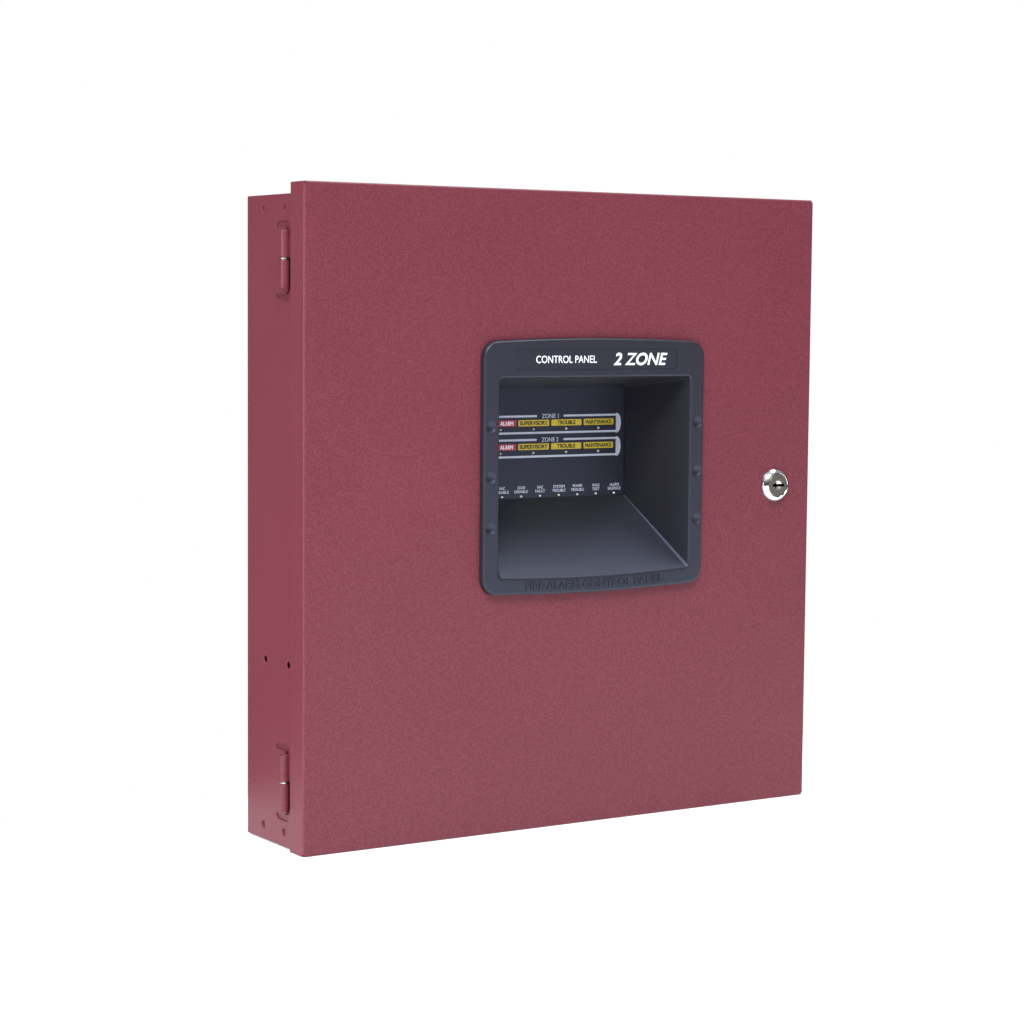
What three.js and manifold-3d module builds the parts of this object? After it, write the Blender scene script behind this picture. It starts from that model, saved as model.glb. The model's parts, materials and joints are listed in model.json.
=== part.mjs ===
// Wall-mounted fire alarm control panel: a folded steel cabinet with a hinged, locked door, a moulded
// viewing bezel in the door, and the boards, transformer and standby batteries inside.
// Millimetres. +X is right as one faces the panel, +Y runs into the wall, +Z is up.
// The origin is the centre of the cabinet's back face, on the wall.
import * as THREE from "three";
import { ConvexGeometry } from "three/addons/geometries/ConvexGeometry.js";
import { mergeVertices } from "three/addons/utils/BufferGeometryUtils.js";
import Module from "manifold-3d";

const wasm = await Module();
wasm.setup();

// ---------------------------------------------------------------- driving dimensions
const cabinetWidth = 365;
const cabinetHeight = 381;
const cabinetDepth = 69.85;
const sheet = 1.2; // steel of the cabinet and the door
const bendRadius = 1.3; // outside radius of the cabinet's folds
const doorBendRadius = 2; // outside radius of the door's folds
const lipWidth = 12; // return flange round the cabinet's mouth
const seatGap = 0.1; // between two pieces that touch
const fitGap = 0.3; // round a piece that passes through another

const doorSideGap = 1.3; // cabinet wall to the inside of the door's side flange
const doorTopRise = 6.3; // door's top edge above the cabinet's
const doorBottomDrop = 0.7; // door's lower edge below the cabinet's
const doorStandOff = 7.45; // cabinet mouth to the door's outer face
const doorFlange = 16.7; // depth of the door's top and side flanges
const doorBottomFlange = 7;

const hingeFromEnd = 38.4; // cabinet's top or bottom to the middle of a hinge
const leafHeight = 38.2;
const leafSheet = 1.5;
const knuckleRadius = 2.7;
const knuckleToFlange = 3.5; // knuckle's front to the door flange's rear edge
const pinRadius = 1.2;
const pinClearance = 0.15;
const upperKnuckle = 15.8;
const lowerKnuckle = 16.3;
const knuckleGap = 1.4; // holds the washer
const washerThickness = 0.8;
const pocketHeight = 45.6; // embossed seat for the hinge plate
const pocketReach = 16.6;
const pocketDepth = 0.8;
const pocketCorner = 4;
const plateProud = 1.2; // hinge plate's face outside the cabinet wall

const windowX = 14.7; // middle of the viewing window, right of the cabinet's middle
const displayMiddleX = 14.25; // middle of the indicator columns
const windowBottom = 155.5; // above the door's lower edge
const windowWidth = 140.8;
const windowHeight = 120.3;
const windowArc = 2.3; // sag of the window's lower edge, gone where the hood meets the display
const railWidth = 10.6; // bezel frame beside the window
const topBand = 21.1; // bezel frame above the window
const bottomBand = 9;
const bezelArc = 2.3; // rise of the bezel's curved top and bottom edges
const bezelCorner = 9;
const bezelProud = 4.3; // bezel's face in front of the door
const hoodWall = 2.2;
const sightWidth = 113; // the hood's rear opening
const sightHeight = 69.3;
const sightRise = 42.8; // rear opening's lower edge above the window's
const dimpleRadius = 3.75;
const dimpleDepth = 1.1;
const dimplePitch = 30.4;
const studRadius = 1.6;
const studLength = 6;
const nameplateWidth = 119.6;
const nameplateHeight = 12.6;
const nameplateRecess = 0.6;

const lockFromEdge = 28.2; // lock axis to the door's right edge
const lockHeight = 205; // above the door's lower edge
const lockBaseRadius = 10.5;
const lockFaceRadius = 8;
const lockProud = 3.9;
const barrelRadius = 9.3;
const barrelLength = 9.5; // behind the door's face
const plugRadius = 7.4;
const camReach = 22;
const camWidth = 10;
const camSheet = 2;
const camStudRadius = 2.4;

const standOffHeight = 12;
const boardThickness = 1.6;
const boardMargin = 14; // cabinet wall to the board's left edge
const boardTopMargin = 18.5;
const batteryHeight = 94;
const batteryDepth = 65;
const batterySideMargin = 25.3; // cabinet wall to battery
const batteryPairGap = 10;
const tabHeight = 7;
const displayDepth = 15.8; // hood's rear rim to the main board
const displayMargin = 5; // display housing past the sight opening, at the sides and top
const displayBelow = 38.3; // display housing below the sight opening
const ledPitch = 24.6; // indicator columns of the two zone rows
const systemLedPitch = 14.15;
const zoneRowDrop = 25.8; // top of the sight opening to the first row of indicators
const zoneRowPitch = 14.85;
const transformerWidth = 57;

// ---------------------------------------------------------------- places worked out from them
const innerX = cabinetWidth / 2 - sheet;
const innerZ = cabinetHeight / 2 - sheet;
const innerBackY = -sheet;
const mouthY = -cabinetDepth;
const doorFaceY = mouthY - doorStandOff;
const doorHalfWidth = cabinetWidth / 2 + doorSideGap + sheet;
const doorBottomZ = -cabinetHeight / 2 - doorBottomDrop;
const doorTopZ = cabinetHeight / 2 + doorTopRise;
const behindDoor = (depth) => doorFaceY + depth;

const hingeX = -cabinetWidth / 2 - fitGap - knuckleRadius;
const hingeY = doorFaceY + doorFlange + knuckleToFlange + knuckleRadius;
const hingeZ = [cabinetHeight / 2 - hingeFromEnd, -cabinetHeight / 2 + hingeFromEnd];
const hingeNames = ["upper", "lower"];

const boardBackY = innerBackY - standOffHeight;
const boardFrontY = boardBackY - boardThickness;
const sightY = boardFrontY - displayDepth; // hood's rear rim
const bezelFaceY = doorFaceY - bezelProud;
const windowBottomZ = doorBottomZ + windowBottom;
const windowMiddleZ = windowBottomZ + windowHeight / 2;
const sightBottomZ = windowBottomZ + sightRise;
const sightTopZ = sightBottomZ + sightHeight;
const lockX = doorHalfWidth - lockFromEdge;
const lockZ = doorBottomZ + lockHeight;
const batteryTopZ = -innerZ + seatGap + batteryHeight;
const boardLeftX = -innerX + boardMargin;
const boardRightX = innerX - transformerWidth - 12;
const boardTopZ = innerZ - boardTopMargin;
const boardBottomZ = batteryTopZ + tabHeight + 24;

// ---------------------------------------------------------------- materials
const material = (color, roughness, metalness) =>
  new THREE.MeshStandardMaterial({ color, roughness, metalness });
const redPaint = material(0x8f3a46, 0.5, 0);
const zincSteel = material(0xb9bcc0, 0.35, 1);
const chrome = material(0xd9dadb, 0.12, 1);
const blackPlastic = material(0x2b2e3a, 0.45, 0);
const labelFilm = material(0x262a36, 0.4, 0);
const boardGreen = material(0x1f5b3a, 0.5, 0);
const batteryCase = material(0x3a3d42, 0.6, 0);
const terminalGreen = material(0x2f7d46, 0.5, 0);
const relayBlack = material(0x1c1d20, 0.5, 0);
const ledWhite = material(0xe9e6d8, 0.3, 0);
const copperWinding = material(0xa8742f, 0.5, 0);
const aluminium = material(0xa7abb0, 0.4, 1);
const glass = material(0xdfe8e8, 0.1, 0);
const redWire = material(0xb01f24, 0.5, 0);
const blackWire = material(0x17181a, 0.5, 0);
const buttonGrey = material(0x8b9098, 0.5, 0);

// ---------------------------------------------------------------- solids
function solidOf(geometry) {
  geometry.deleteAttribute("normal");
  geometry.deleteAttribute("uv");
  const merged = mergeVertices(geometry, 1e-4);
  return new wasm.Manifold(
    new wasm.Mesh({
      numProp: 3,
      vertProperties: new Float32Array(merged.attributes.position.array),
      triVerts: new Uint32Array(merged.index.array),
    }),
  );
}

// A box between two corners.
function block([x0, x1], [y0, y1], [z0, z1]) {
  const box = new THREE.BoxGeometry(x1 - x0, y1 - y0, z1 - z0);
  return solidOf(box.translate((x0 + x1) / 2, (y0 + y1) / 2, (z0 + z1) / 2));
}

// Cylinders along each axis, placed by the ends and the middle of the other two.
function rodY(radius, [y0, y1], x, z, sides = 16) {
  const rod = new THREE.CylinderGeometry(radius, radius, y1 - y0, sides);
  return solidOf(rod.translate(x, (y0 + y1) / 2, z));
}
function rodZ(radius, [z0, z1], x, y, sides = 16) {
  const rod = new THREE.CylinderGeometry(radius, radius, z1 - z0, sides).rotateX(Math.PI / 2);
  return solidOf(rod.translate(x, y, (z0 + z1) / 2));
}
function rodX(radius, [x0, x1], y, z, sides = 16) {
  const rod = new THREE.CylinderGeometry(radius, radius, x1 - x0, sides).rotateZ(Math.PI / 2);
  return solidOf(rod.translate((x0 + x1) / 2, y, z));
}

// An outline drawn in X and Z, as thick as the stretch of Y; and one drawn in X and Y, along Z.
function plateY(shape, [y0, y1], curveSegments = 4) {
  const options = { depth: y1 - y0, bevelEnabled: false, curveSegments };
  return solidOf(new THREE.ExtrudeGeometry(shape, options).rotateX(Math.PI / 2).translate(0, y1, 0));
}
function plateZ(shape, [z0, z1], curveSegments = 4) {
  const options = { depth: z1 - z0, bevelEnabled: false, curveSegments };
  return solidOf(new THREE.ExtrudeGeometry(shape, options).translate(0, 0, z0));
}
// An outline drawn in Y and Z, along X.
function plateX(shape, [x0, x1], curveSegments = 4) {
  const options = { depth: x1 - x0, bevelEnabled: false, curveSegments };
  const along = new THREE.Matrix4().makeBasis(
    new THREE.Vector3(0, 1, 0),
    new THREE.Vector3(0, 0, 1),
    new THREE.Vector3(1, 0, 0),
  );
  return solidOf(new THREE.ExtrudeGeometry(shape, options).applyMatrix4(along).translate(x0, 0, 0));
}

function polygon(points) {
  return new THREE.Shape(points.map(([a, b]) => new THREE.Vector2(a, b)));
}

function roundedRectangle(halfA, halfB, radius, a = 0, b = 0) {
  const shape = new THREE.Shape();
  shape.absarc(a + halfA - radius, b + halfB - radius, radius, 0, Math.PI / 2);
  shape.absarc(a - halfA + radius, b + halfB - radius, radius, Math.PI / 2, Math.PI);
  shape.absarc(a - halfA + radius, b - halfB + radius, radius, Math.PI, 1.5 * Math.PI);
  shape.absarc(a + halfA - radius, b - halfB + radius, radius, 1.5 * Math.PI, 2 * Math.PI);
  return shape;
}

// A chamfered rectangle in Y and Z.
function chamfered([y0, y1], [z0, z1], cut, bothSides = true) {
  const near = bothSides ? cut : 0;
  return polygon([
    [y0 + cut, z0],
    [y1 - near, z0],
    [y1, z0 + near],
    [y1, z1 - near],
    [y1 - near, z1],
    [y0 + cut, z1],
    [y0, z1 - cut],
    [y0, z0 + cut],
  ]);
}

// A rectangle with round corners.
function rounded([y0, y1], [z0, z1], radius) {
  const corners = [
    [y1 - radius, z1 - radius, 0],
    [y0 + radius, z1 - radius, 1],
    [y0 + radius, z0 + radius, 2],
    [y1 - radius, z0 + radius, 3],
  ];
  const points = corners.flatMap(([y, z, quarter]) =>
    [0, 1, 2, 3, 4].map((step) => {
      const angle = ((quarter + step / 4) * Math.PI) / 2;
      return [y + radius * Math.cos(angle), z + radius * Math.sin(angle)];
    }),
  );
  return polygon(points);
}

const union = (solids) => solids.reduce((a, b) => a.add(b));
const without = (solid, cuts) => cuts.reduce((a, b) => a.subtract(b), solid);

function meshOf(name, solid, finish) {
  const made = solid.getMesh();
  const geometry = new THREE.BufferGeometry();
  const position = new Float32Array(made.numVert * 3);
  for (let i = 0; i < made.numVert; i++) {
    position.set(made.vertProperties.subarray(i * made.numProp, i * made.numProp + 3), i * 3);
  }
  geometry.setAttribute("position", new THREE.BufferAttribute(position, 3));
  geometry.setIndex(new THREE.BufferAttribute(made.triVerts, 1));
  geometry.computeVertexNormals();
  const mesh = new THREE.Mesh(geometry, finish);
  mesh.name = name;
  return mesh;
}

// ---------------------------------------------------------------- folded sheet
// A block whose edges at foldedY are rounded on all four sides; openY is its sharp, open side.
function foldedBlock(halfX, [z0, z1], openY, foldedY, radius) {
  const toOpen = Math.sign(openY - foldedY);
  const side = (low, high) => {
    const shape = new THREE.Shape();
    const quarter = Math.PI / 2;
    shape.moveTo(low, openY);
    shape.lineTo(high, openY);
    shape.absarc(high - radius, foldedY + toOpen * radius, radius, 0, -toOpen * quarter, toOpen > 0);
    shape.absarc(low + radius, foldedY + toOpen * radius, radius, -toOpen * quarter, Math.PI, toOpen > 0);
    return shape;
  };
  const acrossX = plateZ(side(-halfX, halfX), [z0, z1], 3);
  // The same profile for the top and bottom folds, turned so that its first axis is Z.
  const turn = new THREE.Matrix4().makeBasis(
    new THREE.Vector3(0, 0, 1),
    new THREE.Vector3(0, 1, 0),
    new THREE.Vector3(-1, 0, 0),
  );
  const options = { depth: 2 * halfX, bevelEnabled: false, curveSegments: 3 };
  const acrossZ = new THREE.ExtrudeGeometry(side(z0, z1), options).applyMatrix4(turn);
  return acrossX.intersect(solidOf(acrossZ.translate(halfX, 0, 0)));
}

function foldedPan(halfX, [z0, z1], openY, foldedY, radius) {
  const toOpen = Math.sign(openY - foldedY);
  const inside = foldedBlock(
    halfX - sheet,
    [z0 + sheet, z1 - sheet],
    openY + toOpen,
    foldedY + toOpen * sheet,
    radius - sheet,
  );
  return foldedBlock(halfX, [z0, z1], openY, foldedY, radius).subtract(inside);
}

// ---------------------------------------------------------------- cabinet
const wallHoleRadius = 2.25;
const tabHoles = [-48.3, -21.8]; // rear of the corner tabs' rivet holes, as Y
const tabHoleZ = cabinetHeight / 2 - 8.7;
const tabWidth = 18; // tabs of the top and bottom, riveted inside the side walls
const tabInset = 8;
const shelfHoles = [-53.3, -24.1];
const shelfHoleZ = -innerZ + batteryHeight + 13;
const keyholeFromSide = 32;
const keyholeFromTop = 26;

const pocketFrontY = hingeY - 0.3;
const pocketRearY = pocketFrontY + pocketReach;

function hingePocket(middleZ, [x0, x1], grow) {
  const y0 = pocketFrontY - grow;
  const y1 = pocketRearY + grow;
  const half = pocketHeight / 2 + grow;
  return plateX(rounded([y0, y1], [middleZ - half, middleZ + half], pocketCorner), [x0, x1]);
}

// A knockout: a groove round a disc that an electrician punches out for a conduit.
function knockout(rod, outer) {
  const grooveDepth = 0.5;
  const discRadius = 11.1; // for a 22 mm conduit hole
  const reach = [outer - grooveDepth, outer + grooveDepth];
  return rod(discRadius + 0.6, reach).subtract(rod(discRadius, reach));
}

function cabinet() {
  const half = cabinetHeight / 2;
  const wallX = cabinetWidth / 2;
  const shell = foldedPan(wallX, [-half, half], mouthY, 0, bendRadius);
  const clearX = innerX - lipWidth;
  const clearZ = innerZ - lipWidth;
  const mouth = block([-wallX, wallX], [mouthY, mouthY + sheet], [-half, half]).subtract(
    block([-clearX, clearX], [mouthY - 1, mouthY + sheet + 1], [-clearZ, clearZ]),
  );
  const tabs = [];
  const holes = [];
  for (const side of [-1, 1]) {
    for (const end of [-1, 1]) {
      const x = [side * innerX - (side > 0 ? sheet : 0), side * innerX + (side < 0 ? sheet : 0)];
      const z = [end * innerZ, end * (innerZ - tabWidth)].sort((a, b) => a - b);
      tabs.push(block(x, [mouthY + tabInset, -tabInset], z));
      for (const y of tabHoles) {
        const through = [side * wallX - sheet, side * wallX + sheet];
        holes.push(rodX(wallHoleRadius, through, y, end * tabHoleZ, 14));
      }
    }
  }
  const pockets = hingeZ.map((z) => hingePocket(z, [-wallX - 1, -wallX + pocketDepth], 0));
  const pads = hingeZ.map((z) => hingePocket(z, [-innerX - 0.2, -innerX + pocketDepth], 0.6));
  for (const y of shelfHoles) {
    holes.push(rodX(wallHoleRadius - 0.1, [-wallX - 1, -innerX + 1], y, shelfHoleZ, 14));
  }
  for (const side of [-1, 1]) {
    const x = side * (wallX - keyholeFromSide);
    const top = half - keyholeFromTop;
    holes.push(rodY(4.5, [-sheet - 1, 1], x, top - 8, 16));
    holes.push(block([x - 2.4, x + 2.4], [-sheet - 1, 1], [top - 8, top]));
    holes.push(rodY(2.4, [-sheet - 1, 1], x, top, 12));
    holes.push(rodY(3, [-sheet - 1, 1], x, -half + keyholeFromTop, 14));
  }
  const middleY = -cabinetDepth / 2;
  const knockouts = [-110, 0, 110].map((x) => knockout((r, z) => rodZ(r, z, x, middleY), half));
  for (const z of [60, -60]) knockouts.push(knockout((r, x) => rodX(r, x, middleY, z), wallX));
  for (const x of [-120, 150]) knockouts.push(knockout((r, y) => rodY(r, y, x, half - 60), 0));
  const folded = union([shell, mouth, ...tabs, ...pads]);
  return meshOf("cabinet", without(folded, [...holes, ...pockets, ...knockouts]), redPaint);
}

// ---------------------------------------------------------------- hinges
const leafX = [-cabinetWidth / 2 - plateProud, -cabinetWidth / 2 - plateProud + leafSheet];
const boreRadius = pinRadius + pinClearance;
const weldRadius = 1.9; // plug-weld holes
const weldFromEnd = 7.3;
const splitZ = (middle) => middle - leafHeight / 2 + 3.2 + lowerKnuckle; // top of the lower knuckle
const washerZ = (middle) => splitZ(middle) + (knuckleGap - washerThickness) / 2;

function hingePlate(index) {
  const middle = hingeZ[index];
  const bottom = middle - leafHeight / 2;
  const knuckle = [splitZ(middle) - lowerKnuckle, splitZ(middle)];
  const frontY = hingeY + 0.6;
  const rearY = pocketRearY - fitGap;
  const outline = chamfered([frontY, rearY], [bottom, bottom + leafHeight], 2.4, false);
  // Cut back where the door's knuckle turns.
  const notch = block(
    [leafX[0] - 1, leafX[1] + 1],
    [frontY - 1, hingeY + knuckleRadius],
    [knuckle[1] + seatGap, bottom + leafHeight + 1],
  );
  const plate = plateX(outline, leafX).subtract(notch);
  const bridge = block(leafX, [hingeY + 0.1, frontY + 3], knuckle);
  const barrel = rodZ(knuckleRadius, knuckle, hingeX, hingeY);
  const bore = rodZ(pinRadius + seatGap, [knuckle[0] - 1, knuckle[1] + 1], hingeX, hingeY);
  const welds = [weldFromEnd, leafHeight - weldFromEnd].map((z) =>
    rodX(weldRadius, [leafX[0] - 1, leafX[1] + 1], frontY + 7, bottom + z, 12),
  );
  const made = without(union([plate, bridge, barrel]), [bore, ...welds]);
  return meshOf(`hinge_plate_${hingeNames[index]}`, made, redPaint);
}

function hingePin(index) {
  const middle = hingeZ[index];
  const reach = [splitZ(middle) - lowerKnuckle + 1, splitZ(middle) + knuckleGap + upperKnuckle - 2];
  return meshOf(`hinge_pin_${hingeNames[index]}`, rodZ(pinRadius, reach, hingeX, hingeY, 16), zincSteel);
}

function hingeWasher(index) {
  const bottom = washerZ(hingeZ[index]);
  const reach = [bottom, bottom + washerThickness];
  const ring = rodZ(knuckleRadius - 0.1, reach, hingeX, hingeY).subtract(
    rodZ(boreRadius, [reach[0] - 1, reach[1] + 1], hingeX, hingeY),
  );
  return meshOf(`hinge_washer_${hingeNames[index]}`, ring, zincSteel);
}

function doorKnuckle(index) {
  const bottom = splitZ(hingeZ[index]) + knuckleGap;
  const reach = [bottom, bottom + upperKnuckle];
  const strapX = [-cabinetWidth / 2 - doorSideGap + seatGap, -cabinetWidth / 2 - fitGap];
  const strap = block(strapX, [doorFaceY + 6, hingeY], reach);
  const barrel = rodZ(knuckleRadius, reach, hingeX, hingeY);
  const bore = rodZ(boreRadius, [reach[0] - 1, reach[1] + 1], hingeX, hingeY);
  return meshOf(`door_knuckle_${hingeNames[index]}`, union([strap, barrel]).subtract(bore), redPaint);
}

// ---------------------------------------------------------------- door and bezel
// The inside of the hood at a depth: it narrows from the window to the sight opening, and its floor
// sags in the middle by less and less.
function hoodAt(y, grow = 0) {
  const share = (y - bezelFaceY) / (sightY - bezelFaceY);
  const between = (a, b) => a + (b - a) * share;
  const halfX = between(windowWidth, sightWidth) / 2 + grow;
  return {
    x: [windowX - halfX, windowX + halfX],
    z: [
      between(windowBottomZ, sightBottomZ) - grow * 1.3,
      between(windowBottomZ + windowHeight, sightTopZ) + grow,
    ],
    sag: between(windowArc, 0),
  };
}

const floorSteps = 3;

function frustum(y0, y1, grow) {
  const corners = [];
  for (const y of [y0, y1]) {
    const at = hoodAt(y, grow);
    const half = (at.x[1] - at.x[0]) / 2;
    for (const x of at.x) corners.push(new THREE.Vector3(x, y, at.z[1]));
    for (let step = -floorSteps; step <= floorSteps; step++) {
      const across = step / floorSteps;
      const sagHere = at.sag * (1 - across * across);
      corners.push(new THREE.Vector3(windowX + half * across, y, at.z[0] - sagHere));
    }
  }
  return solidOf(new ConvexGeometry(corners));
}

const studX = windowWidth / 2 + 5.5; // from the window's middle
const studZ = [-1, 0, 1].map((step) => windowMiddleZ + 0.5 + step * dimplePitch);

function doorShell() {
  const rearY = behindDoor(doorFlange);
  const pan = foldedPan(doorHalfWidth, [doorBottomZ, doorTopZ], rearY, doorFaceY, doorBendRadius);
  const insideX = doorHalfWidth - sheet;
  const shorten = block(
    [-insideX, insideX],
    [behindDoor(doorBottomFlange), rearY + 1],
    [doorBottomZ - 1, doorBottomZ + sheet + 1],
  );
  const neck = hoodAt(doorFaceY, hoodWall + fitGap);
  const halfNeck = (neck.x[1] - neck.x[0]) / 2;
  const neckZ = [neck.z[0] - neck.sag, neck.z[1]];
  const through = [doorFaceY - 1, doorFaceY + sheet + 1];
  const opening = plateY(
    roundedRectangle(halfNeck, (neckZ[1] - neckZ[0]) / 2, 2 * fitGap, windowX, (neckZ[0] + neckZ[1]) / 2),
    through,
  );
  const holes = [rodY(barrelRadius + fitGap, through, lockX, lockZ, 24)];
  for (const side of [-1, 1]) {
    for (const z of studZ) holes.push(rodY(studRadius + fitGap, through, windowX + side * studX, z, 12));
  }
  return meshOf("door_shell", without(pan, [shorten, opening, ...holes]), redPaint);
}

// The bezel's outline: straight sides, and a top and a bottom edge that bow outwards.
function bezelOutline() {
  const halfX = windowWidth / 2 + railWidth;
  const low = windowBottomZ - bottomBand;
  const high = windowBottomZ + windowHeight + topBand;
  const span = halfX - bezelCorner;
  const bowRadius = (span * span + bezelArc * bezelArc) / (2 * bezelArc);
  const bowAngle = Math.asin(span / bowRadius);
  const shape = new THREE.Shape();
  const quarter = Math.PI / 2;
  const bow = (z, upwards) => {
    const middle = upwards ? z + bezelArc - bowRadius : z - bezelArc + bowRadius;
    const from = (upwards ? quarter : -quarter) - bowAngle;
    shape.absarc(windowX, middle, bowRadius, from, from + 2 * bowAngle);
  };
  const corner = (sideX, z, from) => {
    shape.absarc(windowX + sideX * span, z, bezelCorner, from, from + quarter);
  };
  corner(1, low + bezelCorner, -quarter);
  corner(1, high - bezelCorner, 0);
  bow(high, true);
  corner(-1, high - bezelCorner, quarter);
  corner(-1, low + bezelCorner, 2 * quarter);
  bow(low, false);
  return shape;
}

const nameplateZ = windowBottomZ + windowHeight + 10.8;

function bezel() {
  const frame = plateY(bezelOutline(), [bezelFaceY, doorFaceY - seatGap], 8);
  const hood = frustum(doorFaceY - 1, sightY, hoodWall);
  const pocket = frustum(bezelFaceY - 1, sightY + 1, 0);
  const recess = plateY(
    roundedRectangle(nameplateWidth / 2, nameplateHeight / 2, 3, windowX, nameplateZ),
    [bezelFaceY - 1, bezelFaceY + nameplateRecess],
  );
  const ballRadius = (dimpleRadius ** 2 + dimpleDepth ** 2) / (2 * dimpleDepth);
  const studs = [];
  const dimples = [];
  for (const side of [-1, 1]) {
    for (const z of studZ) {
      const x = windowX + side * studX;
      studs.push(rodY(studRadius, [doorFaceY - 1, behindDoor(studLength)], x, z, 12));
      const ball = new THREE.SphereGeometry(ballRadius, 12, 16).rotateX(Math.PI / 2);
      dimples.push(solidOf(ball.translate(x, bezelFaceY + dimpleDepth - ballRadius, z)));
    }
  }
  return meshOf("bezel", without(union([frame, hood, ...studs]), [pocket, recess, ...dimples]), blackPlastic);
}

function nameplate() {
  const outline = roundedRectangle(
    nameplateWidth / 2 - seatGap,
    nameplateHeight / 2 - seatGap,
    3 - seatGap,
    windowX,
    nameplateZ,
  );
  const front = bezelFaceY + 0.1;
  return meshOf("nameplate", plateY(outline, [front, bezelFaceY + nameplateRecess - seatGap]), labelFilm);
}

// A sprung steel strip behind the door that grips the bezel's three studs on one side.
function retainingStrip(side, name) {
  const x = windowX + side * studX;
  const y = [behindDoor(sheet + seatGap), behindDoor(sheet + seatGap + 0.8)];
  const reach = dimplePitch + 7;
  const strip = block([x - 3.2, x + 3.2], y, [studZ[1] - reach, studZ[1] + reach]);
  const holes = studZ.map((z) => rodY(studRadius + seatGap, [y[0] - 1, y[1] + 1], x, z, 12));
  return meshOf(name, without(strip, holes), zincSteel);
}

// ---------------------------------------------------------------- lock
const camY = [behindDoor(barrelLength + 0.6), behindDoor(barrelLength + 0.6 + camSheet)];
const nutY = [behindDoor(sheet + seatGap), behindDoor(sheet + seatGap + 3)];

function turned(profile, sides = 28) {
  const points = profile.map(([radius, y]) => new THREE.Vector2(radius, y));
  return solidOf(new THREE.LatheGeometry(points, sides).translate(lockX, 0, lockZ));
}

function lockHousing() {
  const bore = plugRadius + 0.2;
  const rimY = doorFaceY - lockProud;
  const seatY = doorFaceY - seatGap;
  const dome = [];
  const steps = 5;
  for (let i = 0; i <= steps; i++) {
    const angle = (i / steps) * (Math.PI / 2);
    dome.push([
      lockFaceRadius + (lockBaseRadius - lockFaceRadius) * Math.sin(angle),
      rimY + (lockProud - 0.8) * (1 - Math.cos(angle)),
    ]);
  }
  const endY = behindDoor(barrelLength);
  const profile = [
    [bore, rimY],
    ...dome,
    [lockBaseRadius, seatY],
    [barrelRadius, seatY],
    [barrelRadius, endY],
    [bore, endY],
    [bore, rimY],
  ];
  return meshOf("lock_housing", turned(profile), chrome);
}

function hexagon(acrossFlats, y, x, z, holeRadius) {
  const corner = acrossFlats / Math.sqrt(3);
  const body = rodY(corner, y, x, z, 6);
  return body.subtract(rodY(holeRadius, [y[0] - 1, y[1] + 1], x, z, 20));
}

function lockNut() {
  const nut = hexagon(2 * barrelRadius + 4, nutY, lockX, lockZ, barrelRadius + fitGap);
  return meshOf("lock_nut", nut, zincSteel);
}

function lockPlug() {
  const faceY = doorFaceY - lockProud + 0.2;
  const body = rodY(plugRadius, [faceY, behindDoor(barrelLength + 0.4)], lockX, lockZ, 28);
  const stud = rodY(camStudRadius, [behindDoor(barrelLength), camY[1] + 3.6], lockX, lockZ, 12);
  const slot = block([lockX - 4.8, lockX + 4.8], [faceY - 1, faceY + 9], [lockZ - 0.95, lockZ + 0.95]);
  const dish = solidOf(new THREE.CylinderGeometry(1.4, 3.4, 2, 16).translate(lockX, faceY + 0.5, lockZ));
  return meshOf("lock_plug", without(union([body, stud]), [slot, dish]), chrome);
}

function lockCam() {
  const shape = new THREE.Shape();
  const half = camWidth / 2;
  shape.absarc(lockX, lockZ, half, 0, Math.PI);
  shape.absarc(lockX, lockZ - camReach + half, half, Math.PI, 2 * Math.PI);
  const arm = plateY(shape, camY, 6);
  const hole = rodY(camStudRadius + 0.2, [camY[0] - 1, camY[1] + 1], lockX, lockZ, 12);
  return meshOf("lock_cam", arm.subtract(hole), zincSteel);
}

function camNut() {
  const y = [camY[1] + seatGap, camY[1] + 2.6];
  return meshOf("cam_nut", hexagon(8, y, lockX, lockZ, camStudRadius + 0.2), zincSteel);
}

// ---------------------------------------------------------------- main board and what is soldered to it
const boardX = [boardLeftX, boardRightX];
const onBoard = (height) => [boardFrontY - seatGap - height, boardFrontY - seatGap];
const boardCorners = [
  [boardLeftX + 8, boardTopZ - 8],
  [boardRightX - 8, boardTopZ - 8],
  [boardLeftX + 8, boardBottomZ + 8],
  [boardRightX - 8, boardBottomZ + 8],
];

function mainBoard() {
  const board = block(boardX, [boardFrontY, boardBackY], [boardBottomZ, boardTopZ]);
  const holes = boardCorners.map(([x, z]) => rodY(1.9, [boardFrontY - 1, boardBackY + 1], x, z, 12));
  return meshOf("main_board", without(board, holes), boardGreen);
}

function boardPost([x, z], index) {
  const post = rodY(3.2, [boardBackY + seatGap, innerBackY - seatGap], x, z, 6);
  return meshOf(`board_standoff_${index + 1}`, post, zincSteel);
}

// A screw terminal strip: a stepped body with a wire mouth and a screw well for each pole.
function terminalStrip(name, poles, pitch, x0, z0, finish, depth = 11, height = 14) {
  const y = onBoard(height);
  const width = poles * pitch;
  const outline = polygon([
    [y[1], z0],
    [y[1], z0 + depth],
    [y[0], z0 + depth],
    [y[0], z0 + 3],
    [y[0] + 4, z0],
  ]);
  const cuts = [];
  for (let i = 0; i < poles; i++) {
    const x = x0 + (i + 0.5) * pitch;
    cuts.push(rodY(pitch * 0.32, [y[0] - 1, y[0] + 2], x, z0 + depth * 0.62, 8));
    cuts.push(block([x - pitch * 0.3, x + pitch * 0.3], [y[1] - 7, y[1] - 3], [z0 - 1, z0 + 2]));
  }
  return meshOf(name, without(plateX(outline, [x0, x0 + width]), cuts), finish);
}

function boxOnBoard(name, width, tall, height, x, z, finish) {
  const made = block([x - width / 2, x + width / 2], onBoard(height), [z - tall / 2, z + tall / 2]);
  return meshOf(name, made, finish);
}

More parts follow.
